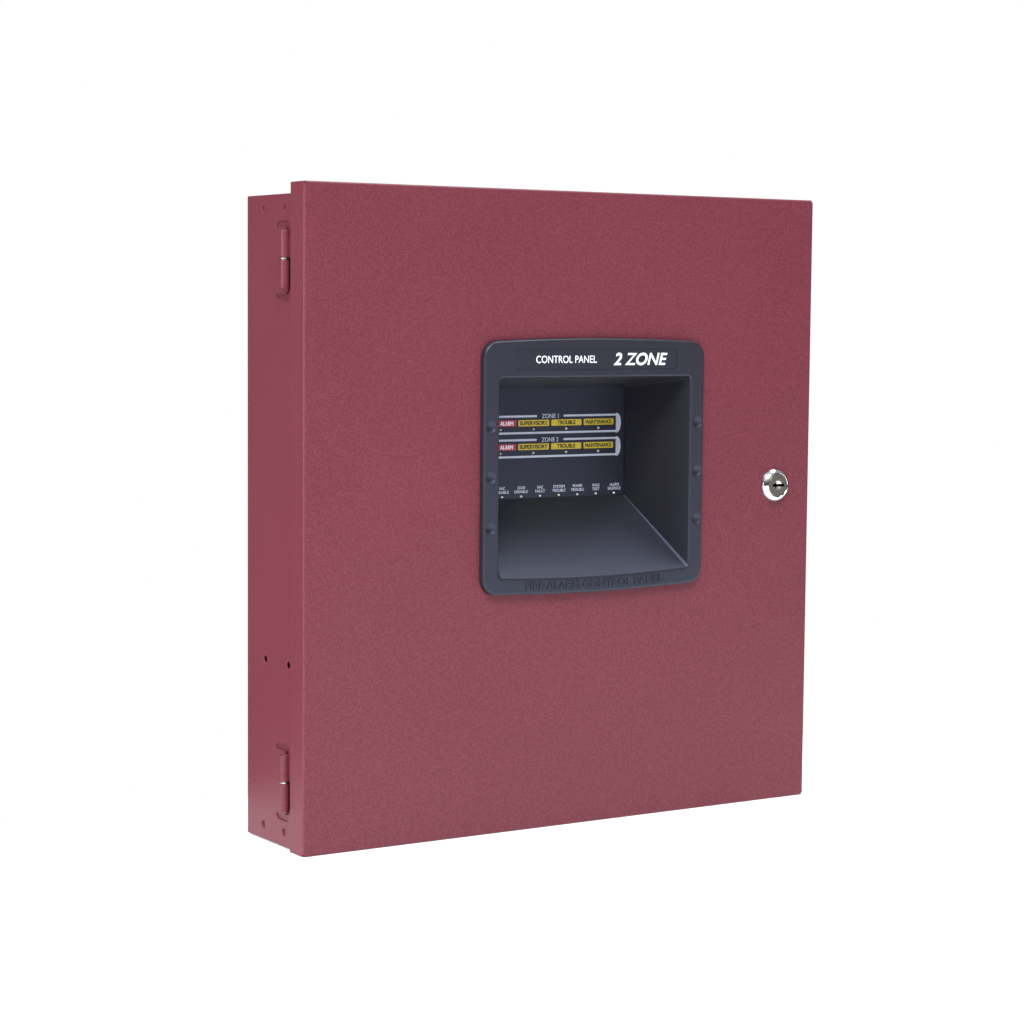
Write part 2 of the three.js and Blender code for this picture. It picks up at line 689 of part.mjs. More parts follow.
function capacitor(name, x, z) {
  const y = onBoard(24);
  const can = rodY(10, y, x, z, 24);
  const cross = [
    block([x - 6, x + 6], [y[0] - 1, y[0] + 0.4], [z - 0.3, z + 0.3]),
    block([x - 0.3, x + 0.3], [y[0] - 1, y[0] + 0.4], [z - 6, z + 6]),
  ];
  return meshOf(name, without(can, cross), blackPlastic);
}

function heatSink(x, z) {
  const y = onBoard(22);
  const finPitch = 6.4;
  const fins = [-2.5, -1.5, -0.5, 0.5, 1.5, 2.5].map((step) => {
    const finX = x + step * finPitch;
    return block([finX - 0.8, finX + 0.8], y, [z, z + 14]);
  });
  const spine = block([x - 18, x + 18], y, [z - 2.2, z + 0.1]);
  return meshOf("heat_sink", union([spine, ...fins]), aluminium);
}

function sounder(x, z) {
  const y = onBoard(9);
  const can = rodY(12, y, x, z, 28);
  return meshOf("piezo_sounder", can.subtract(rodY(1.6, [y[0] - 1, y[0] + 3], x, z, 12)), blackPlastic);
}

function fuseHolder(x, z) {
  const y = onBoard(4);
  const base = block([x - 13, x + 13], y, [z - 4, z + 4]);
  const cheeks = [-1, 1].map((side) => {
    const middle = x + side * 9;
    return block([middle - 2.5, middle + 2.5], [y[0] - 5, y[0] + 0.5], [z - 4, z + 4]);
  });
  const seat = rodX(2.7, [x - 14, x + 14], y[0] - 3, z, 16);
  const mouth = block([x - 14, x + 14], [y[0] - 6, y[0] - 3], [z - 2.3, z + 2.3]);
  return meshOf("fuse_holder", without(union([base, ...cheeks]), [seat, mouth]), relayBlack);
}

const fuse = (x, z) => meshOf("fuse", rodX(2.5, [x - 10, x + 10], onBoard(4)[0] - 3, z, 16), glass);

// ---------------------------------------------------------------- display in front of the main board
const displayFaceY = sightY + 0.6;
const labelThickness = 0.3;
const panelY = [displayFaceY + labelThickness + seatGap, displayFaceY + labelThickness + seatGap + 1.5];
const displayX = [windowX - sightWidth / 2 - displayMargin, windowX + sightWidth / 2 + displayMargin];
const displayZ = [sightBottomZ - displayBelow, sightTopZ + displayMargin];
const zoneLedZ = [sightTopZ - zoneRowDrop, sightTopZ - zoneRowDrop - zoneRowPitch];
const systemLedZ = sightBottomZ + 1.5;
const buttonZ = sightBottomZ - 20;
const ledHalf = [0.9, 0.7];
const buttonRadius = 4.5;
const buttonTravel = 1;
const buttonNames = ["acknowledge", "silence", "drill", "reset"];
const columns = [-1.5, -0.5, 0.5, 1.5].map((step) => displayMiddleX + step * ledPitch);
const systemColumns = [-3.5, -2.5, -1.5, -0.5, 0.5, 1.5, 2.5, 3.5].map(
  (step) => displayMiddleX + step * systemLedPitch,
);
const ledRows = [
  ["zone_1", columns, zoneLedZ[0]],
  ["zone_2", columns, zoneLedZ[1]],
  ["system", systemColumns, systemLedZ],
];

function ledPost(x, z, reach, grow) {
  const [halfX, halfZ] = ledHalf.map((half) => half + grow);
  return block([x - halfX, x + halfX], reach, [z - halfZ, z + halfZ]);
}

function ledHoles(reach) {
  return ledRows.flatMap(([, across, z]) => across.map((x) => ledPost(x, z, reach, 0.2)));
}

function buttonHoles(reach) {
  return columns.map((x) => rodY(buttonRadius + fitGap, reach, x, buttonZ, 20));
}

function displayHousing() {
  const wall = 2;
  const outer = block(displayX, [panelY[0], boardFrontY - seatGap], displayZ);
  const hollow = block(
    [displayX[0] + wall, displayX[1] - wall],
    [panelY[1], boardFrontY + 1],
    [displayZ[0] + wall, displayZ[1] - wall],
  );
  const reach = [panelY[0] - 1, panelY[1] + 1];
  const housing = without(outer, [hollow, ...ledHoles(reach), ...buttonHoles(reach)]);
  return meshOf("display_housing", housing, blackPlastic);
}

function displayLabel() {
  const inset = 0.6;
  const outline = roundedRectangle(
    (displayX[1] - displayX[0]) / 2 - inset,
    (displayZ[1] - displayZ[0]) / 2 - inset,
    2,
    (displayX[0] + displayX[1]) / 2,
    (displayZ[0] + displayZ[1]) / 2,
  );
  const film = plateY(outline, [displayFaceY, displayFaceY + labelThickness]);
  const reach = [displayFaceY - 1, displayFaceY + labelThickness + 1];
  return meshOf("display_label", without(film, [...ledHoles(reach), ...buttonHoles(reach)]), labelFilm);
}

const displayBoardGap = 5; // panel to the board behind it
const displayBoardY = [panelY[1] + displayBoardGap, panelY[1] + displayBoardGap + boardThickness];

function displayBoard() {
  const edge = 2.6;
  const board = block(
    [displayX[0] + edge, displayX[1] - edge],
    displayBoardY,
    [displayZ[0] + edge, displayZ[1] - edge],
  );
  return meshOf("display_board", board, boardGreen);
}

// One moulded row of light pipes, which carry each lamp's light from the board to the label.
function ledRow([name, across, z]) {
  const ends = [across[0] - 3, across[across.length - 1] + 3];
  const strip = block(ends, [panelY[1] + fitGap, displayBoardY[0] - seatGap], [z - 1.4, z + 1.4]);
  const pipes = across.map((x) => ledPost(x, z, [displayFaceY - 0.35, panelY[1] + 1], 0));
  return meshOf(`light_pipes_${name}`, union([strip, ...pipes]), ledWhite);
}

function button(index) {
  const x = columns[index];
  const stem = rodY(buttonRadius, [displayFaceY - 2.6, panelY[1] + fitGap], x, buttonZ, 20);
  const footY = [panelY[1] + fitGap, displayBoardY[0] - buttonTravel - fitGap];
  const foot = rodY(buttonRadius + 1.2, footY, x, buttonZ, 20);
  return meshOf(`button_${buttonNames[index]}`, union([stem, foot]), buttonGrey);
}

// ---------------------------------------------------------------- transformer
const coreHeight = 48;
const coreDepth = 30;
const windingWall = 9.2;
const transformerX = innerX - transformerWidth / 2 - 6;
const transformerZ = boardTopZ - 48;
const transformerY = innerBackY - fitGap - windingWall - coreDepth / 2 - 0.5;
const limb = transformerWidth / 6;

function around(x, y, z) {
  return block(
    [transformerX - x, transformerX + x],
    [transformerY - y, transformerY + y],
    [transformerZ - z, transformerZ + z],
  );
}

function transformerCore() {
  const windows = [-1, 1].map((side) => {
    const middle = transformerX + side * limb * 1.5;
    return block(
      [middle - limb / 2, middle + limb / 2],
      [transformerY - coreDepth, transformerY + coreDepth],
      [transformerZ - coreHeight / 2 + limb, transformerZ + coreHeight / 2 - limb],
    );
  });
  const stack = around(transformerWidth / 2, coreDepth / 2, coreHeight / 2);
  return meshOf("transformer_core", without(stack, windows), zincSteel);
}

function transformerWinding() {
  const tall = coreHeight / 2 - limb - fitGap;
  const halfDepth = coreDepth / 2 + windingWall;
  const outer = roundedRectangle(2 * limb - fitGap, halfDepth, 4, transformerX, transformerY);
  const coil = plateZ(outer, [transformerZ - tall, transformerZ + tall]);
  const bore = around(limb + fitGap, coreDepth / 2 + fitGap, coreHeight);
  return meshOf("transformer_winding", coil.subtract(bore), copperWinding);
}

// A steel strap over the core with a foot above and below it, screwed to the cabinet's back.
function transformerStrap() {
  const strapSheet = 1.2;
  const outerZ = coreHeight / 2 + fitGap + strapSheet;
  const frontY = transformerY - coreDepth / 2 - fitGap;
  const footY = innerBackY - seatGap;
  const outline = polygon([
    [footY, transformerZ - outerZ - 9],
    [footY, transformerZ - outerZ + strapSheet],
    [frontY, transformerZ - outerZ + strapSheet],
    [frontY, transformerZ + outerZ - strapSheet],
    [footY, transformerZ + outerZ - strapSheet],
    [footY, transformerZ + outerZ + 9],
    [footY - strapSheet, transformerZ + outerZ + 9],
    [footY - strapSheet, transformerZ + outerZ],
    [frontY - strapSheet, transformerZ + outerZ],
    [frontY - strapSheet, transformerZ - outerZ],
    [footY - strapSheet, transformerZ - outerZ],
    [footY - strapSheet, transformerZ - outerZ - 9],
  ]);
  const x = [transformerX - transformerWidth / 2 + 1, transformerX + transformerWidth / 2 - 1];
  const throat = around(2 * limb + fitGap, 2 * coreDepth, coreHeight / 2 - limb + 2);
  const holes = [-1, 1].map((end) =>
    rodY(2.1, [footY - strapSheet - 1, footY + 1], transformerX, transformerZ + end * (outerZ + 4.8), 12),
  );
  return meshOf("transformer_strap", without(plateX(outline, x), [throat, ...holes]), zincSteel);
}

// ---------------------------------------------------------------- batteries and their leads
const batteryLength = innerX - batterySideMargin - batteryPairGap / 2;
const batteryY = [innerBackY - 1.2 - batteryDepth, innerBackY - 1.2];
const tabY = [batteryY[0] + 14, batteryY[1] - 14]; // the two blade terminals, front and rear
const tabX = batteryPairGap / 2 + 12;
const bootHeight = 10;

function battery(side, name) {
  const near = (side * batteryPairGap) / 2;
  const far = near + side * batteryLength;
  const x = [Math.min(near, far), Math.max(near, far)];
  const lidZ = batteryTopZ - 8;
  const body = block(x, batteryY, [-innerZ + seatGap, lidZ - 1.5]);
  const lid = block([x[0] + 1, x[1] - 1], [batteryY[0] + 1, batteryY[1] - 1], [lidZ - 2, batteryTopZ]);
  const blade = [side * tabX - 3.15, side * tabX + 3.15];
  const tabs = tabY.map((y) => block(blade, [y - 0.4, y + 0.4], [batteryTopZ - 1, batteryTopZ + tabHeight]));
  return meshOf(name, union([body, lid, ...tabs]), batteryCase);
}

// An insulated push-on receptacle over one blade terminal.
function boot(x, y) {
  const bottom = batteryTopZ + fitGap;
  const sleeve = block([x - 4.6, x + 4.6], [y - 2, y + 2], [bottom, bottom + bootHeight]);
  return sleeve.subtract(block([x - 3.45, x + 3.45], [y - 0.7, y + 0.7], [bottom - 1, bottom + tabHeight]));
}

function wire(name, points, boots, finish) {
  const radius = 1.3;
  const sides = 8;
  const ring = new THREE.Shape();
  ring.absarc(0, 0, radius, 0, 2 * Math.PI);
  const curve = new THREE.CatmullRomCurve3(points.map((p) => new THREE.Vector3(...p)));
  const steps = Math.round(curve.getLength() / 4);
  const tube = new THREE.ExtrudeGeometry(ring, { extrudePath: curve, steps, curveSegments: sides / 2 });
  return meshOf(name, union([solidOf(tube), ...boots]), finish);
}

const leadTopZ = batteryTopZ + bootHeight;
const leadSocket = { x: windowX + 20, z: boardBottomZ + 7 }; // two-pole battery socket on the main board
const leadY = onBoard(14)[0];

function batteryJumper() {
  const y = tabY[0];
  const points = [
    [-tabX, y, leadTopZ - 2],
    [-tabX, y, leadTopZ + 3],
    [-tabX / 2, y - 1, leadTopZ + 9],
    [tabX / 2, y - 1, leadTopZ + 9],
    [tabX, y, leadTopZ + 3],
    [tabX, y, leadTopZ - 2],
  ];
  return wire("battery_jumper", points, [boot(-tabX, y), boot(tabX, y)], blackWire);
}

function batteryLead(name, side, finish) {
  const y = tabY[1];
  const socketX = leadSocket.x + side * 3;
  const points = [
    [side * tabX, y, leadTopZ - 2],
    [side * tabX, y, leadTopZ + 3],
    [side * tabX * 0.6 + socketX * 0.4, (y + leadY) / 2 + 3, leadTopZ + 8],
    [socketX, leadY - 9, leadTopZ + 12],
    [socketX, leadY - 9, leadSocket.z - 3],
    [socketX, leadY - 3, leadSocket.z],
    [socketX, leadY - 0.3, leadSocket.z],
  ];
  return wire(name, points, [boot(side * tabX, y)], finish);
}

// ---------------------------------------------------------------- the assembly
const fixed = new THREE.Group();
const topRowZ = boardTopZ - 20;
fixed.add(cabinet());
for (const index of [0, 1]) fixed.add(hingePlate(index), hingePin(index), hingeWasher(index));
fixed.add(mainBoard(), ...boardCorners.map(boardPost));
fixed.add(
  terminalStrip("terminal_strip_relays", 9, 7.5, boardLeftX + 18, topRowZ, terminalGreen),
  terminalStrip("terminal_strip_bells", 8, 7.5, boardLeftX + 92, topRowZ, terminalGreen),
  terminalStrip("terminal_strip_zones", 8, 7.5, boardLeftX + 159, topRowZ, terminalGreen),
  terminalStrip("terminal_strip_mains", 3, 12, boardLeftX + 18, boardBottomZ + 6, relayBlack, 18, 16),
);
["alarm", "trouble", "supervisory"].forEach((use, index) => {
  const x = boardLeftX + 30 + index * 24;
  fixed.add(boxOnBoard(`relay_${use}`, 19, 15.5, 15.5, x, topRowZ - 22, relayBlack));
});
fixed.add(
  capacitor("filter_capacitor_1", boardLeftX + 78, boardBottomZ + 62),
  capacitor("filter_capacitor_2", boardLeftX + 78, boardBottomZ + 88),
  heatSink(boardLeftX + 38, boardBottomZ + 62),
  sounder(boardLeftX + 36, boardBottomZ + 108),
  boxOnBoard("microcontroller", 24, 24, 2.6, windowX, topRowZ - 28, relayBlack),
  boxOnBoard("battery_socket", 14, 9, 14, leadSocket.x, leadSocket.z, ledWhite),
  fuseHolder(boardLeftX + 82, boardBottomZ + 14),
  fuse(boardLeftX + 82, boardBottomZ + 14),
  transformerCore(),
  transformerWinding(),
  transformerStrap(),
);
fixed.add(displayHousing(), displayLabel(), displayBoard(), ...ledRows.map(ledRow));
fixed.add(
  battery(-1, "battery_left"),
  battery(1, "battery_right"),
  batteryJumper(),
  batteryLead("battery_lead_black", -1, blackWire),
  batteryLead("battery_lead_red", 1, redWire),
);

const door = new THREE.Group();
door.add(doorShell(), doorKnuckle(0), doorKnuckle(1));
door.add(bezel(), nameplate());
door.add(retainingStrip(-1, "bezel_strip_left"), retainingStrip(1, "bezel_strip_right"));
door.add(lockHousing(), lockNut());
door.add(lockPlug(), lockCam(), camNut());

const panel = new THREE.Group();
panel.add(fixed, door, ...buttonNames.map((_, index) => button(index)));
export default panel;
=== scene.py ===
# %% [markdown]
# # A wall-mounted fire alarm control panel
# The panel is a folded steel cabinet, a hinged steel door with a deep plastic bezel in it, and
# the boards, transformer and batteries inside. The frame gives every part's place, size and
# motion, and this script gives the parts their surfaces. All lengths are in metres, and MM turns
# millimetres into them.

import json
import math

import bmesh
import bpy
from mathutils import Matrix, Vector


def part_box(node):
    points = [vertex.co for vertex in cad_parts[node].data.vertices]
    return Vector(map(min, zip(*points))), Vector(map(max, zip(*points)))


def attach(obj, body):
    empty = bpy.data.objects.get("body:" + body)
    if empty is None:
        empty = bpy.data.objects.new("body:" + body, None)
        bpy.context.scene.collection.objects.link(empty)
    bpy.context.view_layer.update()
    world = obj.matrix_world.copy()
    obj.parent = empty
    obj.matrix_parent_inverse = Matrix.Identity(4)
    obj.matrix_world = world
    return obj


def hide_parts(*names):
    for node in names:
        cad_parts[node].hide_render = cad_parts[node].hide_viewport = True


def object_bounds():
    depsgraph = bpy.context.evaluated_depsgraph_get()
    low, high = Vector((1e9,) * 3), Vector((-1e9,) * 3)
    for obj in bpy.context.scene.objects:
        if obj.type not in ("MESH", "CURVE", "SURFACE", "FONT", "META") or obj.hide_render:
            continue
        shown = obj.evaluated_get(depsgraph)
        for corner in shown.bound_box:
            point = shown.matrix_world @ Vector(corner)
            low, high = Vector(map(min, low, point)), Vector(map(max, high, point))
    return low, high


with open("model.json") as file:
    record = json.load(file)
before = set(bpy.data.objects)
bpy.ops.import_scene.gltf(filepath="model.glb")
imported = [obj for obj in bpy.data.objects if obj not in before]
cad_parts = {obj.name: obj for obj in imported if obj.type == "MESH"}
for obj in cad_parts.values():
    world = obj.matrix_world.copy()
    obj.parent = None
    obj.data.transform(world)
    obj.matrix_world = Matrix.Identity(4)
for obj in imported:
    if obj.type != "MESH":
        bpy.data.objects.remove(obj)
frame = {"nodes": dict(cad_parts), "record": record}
cad_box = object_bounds()
MM = 0.001


# %% [markdown]
# A model is easiest to judge from one fixed place, so the camera comes first. It stands to the
# left of the panel and a little above its middle, and looks down slightly at the door with a long
# lens, which keeps the door's edges nearly parallel. It is placed by the direction it looks in,
# its distance from the door's face, and the point of that face that it looks at, which is left of
# the middle.

# %% The camera
door_low, door_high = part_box("door_shell")
camera_yaw = math.radians(32.655)
camera_pitch = math.radians(4.747)
camera_roll = math.radians(0.492)
camera_distance = 1.4803
aim_left, aim_up = 44 * MM, 1 * MM
aim = Vector(
    (
        (door_low.x + door_high.x) / 2 - aim_left,
        door_low.y,
        (door_low.z + door_high.z) / 2 + aim_up,
    )
)
facing = Vector(
    (
        math.sin(camera_yaw) * math.cos(camera_pitch),
        math.cos(camera_yaw) * math.cos(camera_pitch),
        -math.sin(camera_pitch),
    )
)
turn = facing.to_track_quat("-Z", "Y").to_matrix() @ Matrix.Rotation(camera_roll, 3, "Z")
camera_data = bpy.data.cameras.new("camera")
camera_data.lens = 86.55
camera_data.sensor_width = 36
camera = bpy.data.objects.new("camera", camera_data)
camera.matrix_world = Matrix.Translation(aim - facing * camera_distance) @ turn.to_4x4()
bpy.context.collection.objects.link(camera)
bpy.context.scene.camera = camera
bpy.context.scene.view_settings.view_transform = "Standard"
print("camera at", [round(v, 3) for v in camera.location])


# %% [markdown]
# Most pieces share the same last steps: the mesh becomes an object, its curved faces are shaded
# smooth up to an angle, its edges get a small round, and it is told which body it rides on. A
# real edge is never knife-sharp, and the thin bright line along a rounded edge is what makes
# metal look like metal. The last modifier lets the large flat faces decide the shading, so the
# rounds don't bend it.

# %% Finishing a piece
def finish_piece(name, bm, material, body, replaced=(), smooth=40, edge=0.0, clamp=True):
    """Turns a bmesh into a finished piece of the panel.

    Faces that meet at less than the smooth angle, in degrees, are shaded as one surface. Sharper
    edges are rounded by the edge width, held back between close edges where clamp is true."""
    mesh = bpy.data.meshes.new(name)
    bm.to_mesh(mesh)
    bm.free()
    mesh.materials.append(material)
    mesh.shade_smooth()
    mesh.set_sharp_from_angle(angle=math.radians(smooth))
    piece = bpy.data.objects.new(name, mesh)
    bpy.context.collection.objects.link(piece)
    if edge:
        rounding = piece.modifiers.new("edge", "BEVEL")
        rounding.width = edge
        rounding.segments = 2
        rounding.limit_method = "ANGLE"
        rounding.angle_limit = math.radians(smooth)
        rounding.use_clamp_overlap = clamp
    even_shading = piece.modifiers.new("even_shading", "WEIGHTED_NORMAL")
    even_shading.keep_sharp = True
    even_shading.mode = "FACE_AREA_WITH_ANGLE"
    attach(piece, body)
    if replaced:
        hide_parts(*replaced)
    return piece


# %% [markdown]
# Many parts already have their true shape in the frame. A copy of one is finished in the same way
# as a new piece, once its loose triangles are joined. The frame's record says which body and
# which slot of the list of materials a part belongs to.

# %% Copies of the frame's parts
def body_of_node(node):
    """The body that a part of the frame belongs to."""
    bodies = frame["record"]["behaviour"]["bodies"]
    return next(body for body, nodes in bodies.items() if node in nodes)


def slot_of_node(node):
    """The material slot that a part of the frame belongs to."""
    return next(s["material_slot"] for s in frame["record"]["subparts"] if s["node"] == node)


def merged_copy(node):
    """A copy of a part whose loose triangles are joined and whose flat faces are whole again."""
    same_point = 0.002 * MM
    flat = math.radians(0.5)
    bm = bmesh.new()
    bm.from_mesh(frame["nodes"][node].data)
    bmesh.ops.remove_doubles(bm, verts=bm.verts, dist=same_point)
    bmesh.ops.dissolve_limit(bm, angle_limit=flat, verts=bm.verts, edges=bm.edges)
    return bm


def finished_copy(node, material, edge, clamp):
    """A finished piece that stands for a part of the frame, in the part's own shape."""
    body, slot = body_of_node(node), slot_of_node(node)
    bm = merged_copy(node)
    return finish_piece(f"{node}_part", bm, material, body, [node], edge=edge, clamp=clamp)


# %% [markdown]
# New shapes start from a few simple solids. Blender makes flat shapes lying down and rods
# standing up, so one helper turns either a quarter round X, to look along Y. Another cuts a
# closed shape out of another with a Boolean modifier, which is applied at once so that the result
# can be worked further.

# %% Simple shapes, and cutting
def face_front(bm, verts):
    """Turns a shape a quarter round X, so that a flat one stands up and faces the front."""
    quarter_turn = Matrix.Rotation(math.pi / 2, 3, "X")
    bmesh.ops.rotate(bm, verts=verts, cent=(0, 0, 0), matrix=quarter_turn)


def block(bm, low, high):
    """A box between two corners, added to the bmesh."""
    low, high = Vector(low), Vector(high)
    made = bmesh.ops.create_cube(bm, size=1)["verts"]
    bmesh.ops.scale(bm, vec=high - low, verts=made)
    bmesh.ops.translate(bm, vec=(low + high) / 2, verts=made)
    return made


def rod_y(bm, x, z, radius, y0, y1, sides=32):
    """A cylinder along Y, added to the bmesh."""
    made = bmesh.ops.create_cone(
        bm, cap_ends=True, segments=sides, radius1=radius, radius2=radius, depth=y1 - y0
    )["verts"]
    face_front(bm, made)
    bmesh.ops.translate(bm, vec=(x, (y0 + y1) / 2, z), verts=made)
    return made


def cut(bm, cutters):
    """Cuts one closed bmesh out of another, and gives the result back as a bmesh."""
    objects = []
    for part in (bm, cutters):
        mesh = bpy.data.meshes.new("cutting")
        part.to_mesh(mesh)
        part.free()
        objects.append(bpy.data.objects.new("cutting", mesh))
        bpy.context.collection.objects.link(objects[-1])
    boolean = objects[0].modifiers.new("cut", "BOOLEAN")
    boolean.operation = "DIFFERENCE"
    boolean.solver = "EXACT"
    boolean.object = objects[1]
    depsgraph = bpy.context.evaluated_depsgraph_get()
    evaluated = objects[0].evaluated_get(depsgraph)
    result = bmesh.new()
    result.from_mesh(evaluated.to_mesh())
    evaluated.to_mesh_clear()
    for used in objects:
        mesh = used.data
        bpy.data.objects.remove(used)
        bpy.data.meshes.remove(mesh)
    return result


# %% [markdown]
# Colours are chosen on screen as sRGB hex values, but shaders count in linear light, so one
# function converts them. Another adds a shader node with its settings and its links.

# %% Helpers for materials
def colour(hex_code):
    """A colour in linear light from its sRGB hex value."""
    channels = [int(hex_code[i : i + 2], 16) / 255 for i in (1, 3, 5)]
    linear = [c / 12.92 if c <= 0.04045 else ((c + 0.055) / 1.055) ** 2.4 for c in channels]
    return (*linear, 1)


def add_node(tree, kind, inputs=None, **settings):
    """Adds a shader node: an input is either a value or the output that it is linked to."""
    made = tree.nodes.new(kind)
    for name, value in settings.items():
        setattr(made, name, value)
    for name, value in (inputs or {}).items():
        if isinstance(value, bpy.types.NodeSocket):
            tree.links.new(value, made.inputs[name])
        else:
            made.inputs[name].default_value = value
    return made


def new_material(name, roughness, metallic=0.0, **settings):
    """A material with its shader and its Object coordinates ready to use."""
    material = bpy.data.materials.new(name)
    material.use_nodes = True
    tree = material.node_tree
    shader = tree.nodes["Principled BSDF"]
    shader.inputs["Roughness"].default_value = roughness
    shader.inputs["Metallic"].default_value = metallic
    for name, value in settings.items():
        shader.inputs[name.replace("_", " ")].default_value = value
    place = add_node(tree, "ShaderNodeTexCoord").outputs["Object"]
    return material, tree, shader, place


def grain(tree, shader, place, size, height, strength=1.0, detail=2.0):
    """A fine relief of a given grain size, as paint or a moulded surface has."""
    noise = add_node(
        tree, "ShaderNodeTexNoise", {"Vector": place, "Scale": 1 / size, "Detail": detail}
    )
    bump = add_node(
        tree,
        "ShaderNodeBump",
        {"Height": noise.outputs["Fac"], "Distance": height, "Strength": strength},
    )
    tree.links.new(bump.outputs["Normal"], shader.inputs["Normal"])
    return noise


def two_tone(tree, factor, low, high, low_at=0.35, high_at=0.65):
    """Runs a pattern's value between two colours."""
    ramp = add_node(tree, "ShaderNodeValToRGB", {"Fac": factor})
    ramp.color_ramp.elements[0].position = low_at
    ramp.color_ramp.elements[0].color = colour(low)
    ramp.color_ramp.elements[1].position = high_at
    ramp.color_ramp.elements[1].color = colour(high)
    return ramp.outputs["Color"]


def paint_by(tree, shader, factor, low, high):
    """Colours a surface by a pattern's value, between two colours."""
    tree.links.new(two_tone(tree, factor, low, high), shader.inputs["Base Color"])


# %% [markdown]
# The cabinet and door are steel with a baked powder coat. The powder melts into a skin with a
# fine pebbled grain, about a millimetre across, that breaks up reflections into a soft speckle. A
# second, much larger pattern lets the colour drift a little, as it does on a real sprayed door.

# %% Powder coat
def powder_coat():
    pebble, relief, drift_size = 1.1 * MM, 0.06 * MM, 90 * MM
    drift_share = 0.4
    material, tree, shader, place = new_material("red_powder_coat", 0.38, Specular_IOR_Level=0.23)
    pebbles = grain(tree, shader, place, pebble, relief, strength=0.55, detail=3)
    speckle = two_tone(tree, pebbles.outputs["Fac"], "#632c37", "#763a45", 0.4, 0.6)
    drift = add_node(tree, "ShaderNodeTexNoise", {"Vector": place, "Scale": 1 / drift_size})
    wide = two_tone(tree, drift.outputs["Fac"], "#6e3440", "#692f3b")
    # A Mix node's colour inputs come after those for numbers and vectors, at places 6 and 7.
    mixed = add_node(
        tree, "ShaderNodeMix", {"Factor": drift_share, 6: speckle, 7: wide}, data_type="RGBA"
    )
    tree.links.new(mixed.outputs[2], shader.inputs["Base Color"])
    return material


red = powder_coat()
print("paint:", red.name, len(red.node_tree.nodes), "nodes")


# %% [markdown]
# A moulded plastic takes its grain from the mould. Spark erosion leaves the bezel's mould with
# pits too fine to see singly, which turn a shine into a soft glow. Here they are about half a
# millimetre apart, as coarse as they need to be to show. The grain both roughens the surface and
# shifts its colour a little. The bezel and the film have a cool tint in their reflections, for
# the room's daylight.

# %% Moulded plastics
def moulded_plastic(name, low, high, roughness, size=0.5 * MM, height=0.02 * MM, **settings):
    """A plastic with its colour between low and high, and a grain of this size and height."""
    material, tree, shader, place = new_material(name, roughness, **settings)
    noise = grain(tree, shader, place, size, height, strength=0.5)
    paint_by(tree, shader, noise.outputs["Fac"], low, high)
    return material


cool_sheen = {"Specular_IOR_Level": 0.74, "Specular_Tint": (0.5, 0.62, 1.0, 1.0)}
# ABS with a spark-eroded grain: nearly black, with a broad blue-grey sheen.
abs_black = moulded_plastic(
    "abs_blue_black", "#211f22", "#272528", 0.43, 0.45 * MM, 0.03 * MM, **cool_sheen
)
# Polyester film, rolled and so smoother than the bezel, with faint slow waves.
film = moulded_plastic(
    "polyester_film", "#211f22", "#252326", 0.42, 1.5 * MM, 0.004 * MM, **cool_sheen
)


# %% [markdown]
# Metals show their making too. Zinc plate grows in small crystals, which give it a faint mottling
# in both colour and shine, and brushed or extruded metal has a finer one. Chrome is a mirror,
# with polishing waves far too shallow to see singly.

# %% Metals
def plated_steel(name, low, high, roughness, size=2.5 * MM):
    """A metal mottled in cells of this size, each a little duller towards its edge."""
    sheen_low, sheen_high = roughness * 0.8, roughness * 1.3
    material, tree, shader, place = new_material(name, roughness, 1.0)
    cells = add_node(tree, "ShaderNodeTexVoronoi", {"Vector": place, "Scale": 1 / size})
    paint_by(tree, shader, cells.outputs["Color"], low, high)
    rough = add_node(
        tree,
        "ShaderNodeMapRange",
        {"Value": cells.outputs["Distance"], "To Min": sheen_low, "To Max": sheen_high},
    )
    tree.links.new(rough.outputs["Result"], shader.inputs["Roughness"])
    return material


def polished_chrome():
    """Chrome over polished zinc."""
    material, tree, shader, place = new_material("chrome_plate", 0.06, 1.0)
    waves = grain(tree, shader, place, 3 * MM, 0.004 * MM, strength=0.4)
    paint_by(tree, shader, waves.outputs["Fac"], "#d9dadd", "#e2e3e5")
    return material


chrome = polished_chrome()
# Turned stainless steel: a satin grey that shows no clear reflection.
satin_steel = plated_steel("satin_stainless", "#75706c", "#7c7773", 0.38, 0.6 * MM)
# Zinc plate: a pale cool grey with crystals a few millimetres across.
zinc = plated_steel("zinc_plate", "#9fa3a8", "#c3c6c9", 0.32)
# Extruded aluminium: a dull silver.
aluminium = plated_steel("extruded_aluminium", "#9da1a6", "#b3b7bb", 0.36, 1.2 * MM)


# %% [markdown]
# The parts inside have the usual colours of their kinds. Each name says the real material, and
# the number after its colours is its roughness: lenses and shrink sleeves shine, battery cases
# are matt. The fuse is a glass tube, and what is printed on the display is screen ink, which lies
# a little unevenly.

# %% Electrical parts, glass and ink
solder_mask = moulded_plastic("solder_mask", "#175033", "#20603c", 0.3, 4 * MM)
battery_abs = moulded_plastic("battery_abs", "#33363b", "#3e4147", 0.5, 0.8 * MM)
terminal_nylon = moulded_plastic("terminal_nylon", "#28733d", "#308047", 0.4)
black_nylon = moulded_plastic("black_nylon", "#17181b", "#202226", 0.4)
lens_white = moulded_plastic("lamp_lens", "#dedacb", "#f2efe4", 0.2)
winding_tape = moulded_plastic("winding_tape", "#9b6a2b", "#b57f38", 0.4, 3 * MM)
sleeve_film = moulded_plastic("shrink_sleeve", "#171d2c", "#1f2739", 0.2)
red_pvc = moulded_plastic("red_pvc", "#a51a20", "#b82228", 0.35)
black_pvc = moulded_plastic("black_pvc", "#131416", "#1c1d20", 0.35)
button_abs = moulded_plastic("button_abs", "#80858d", "#8f949b", 0.38)


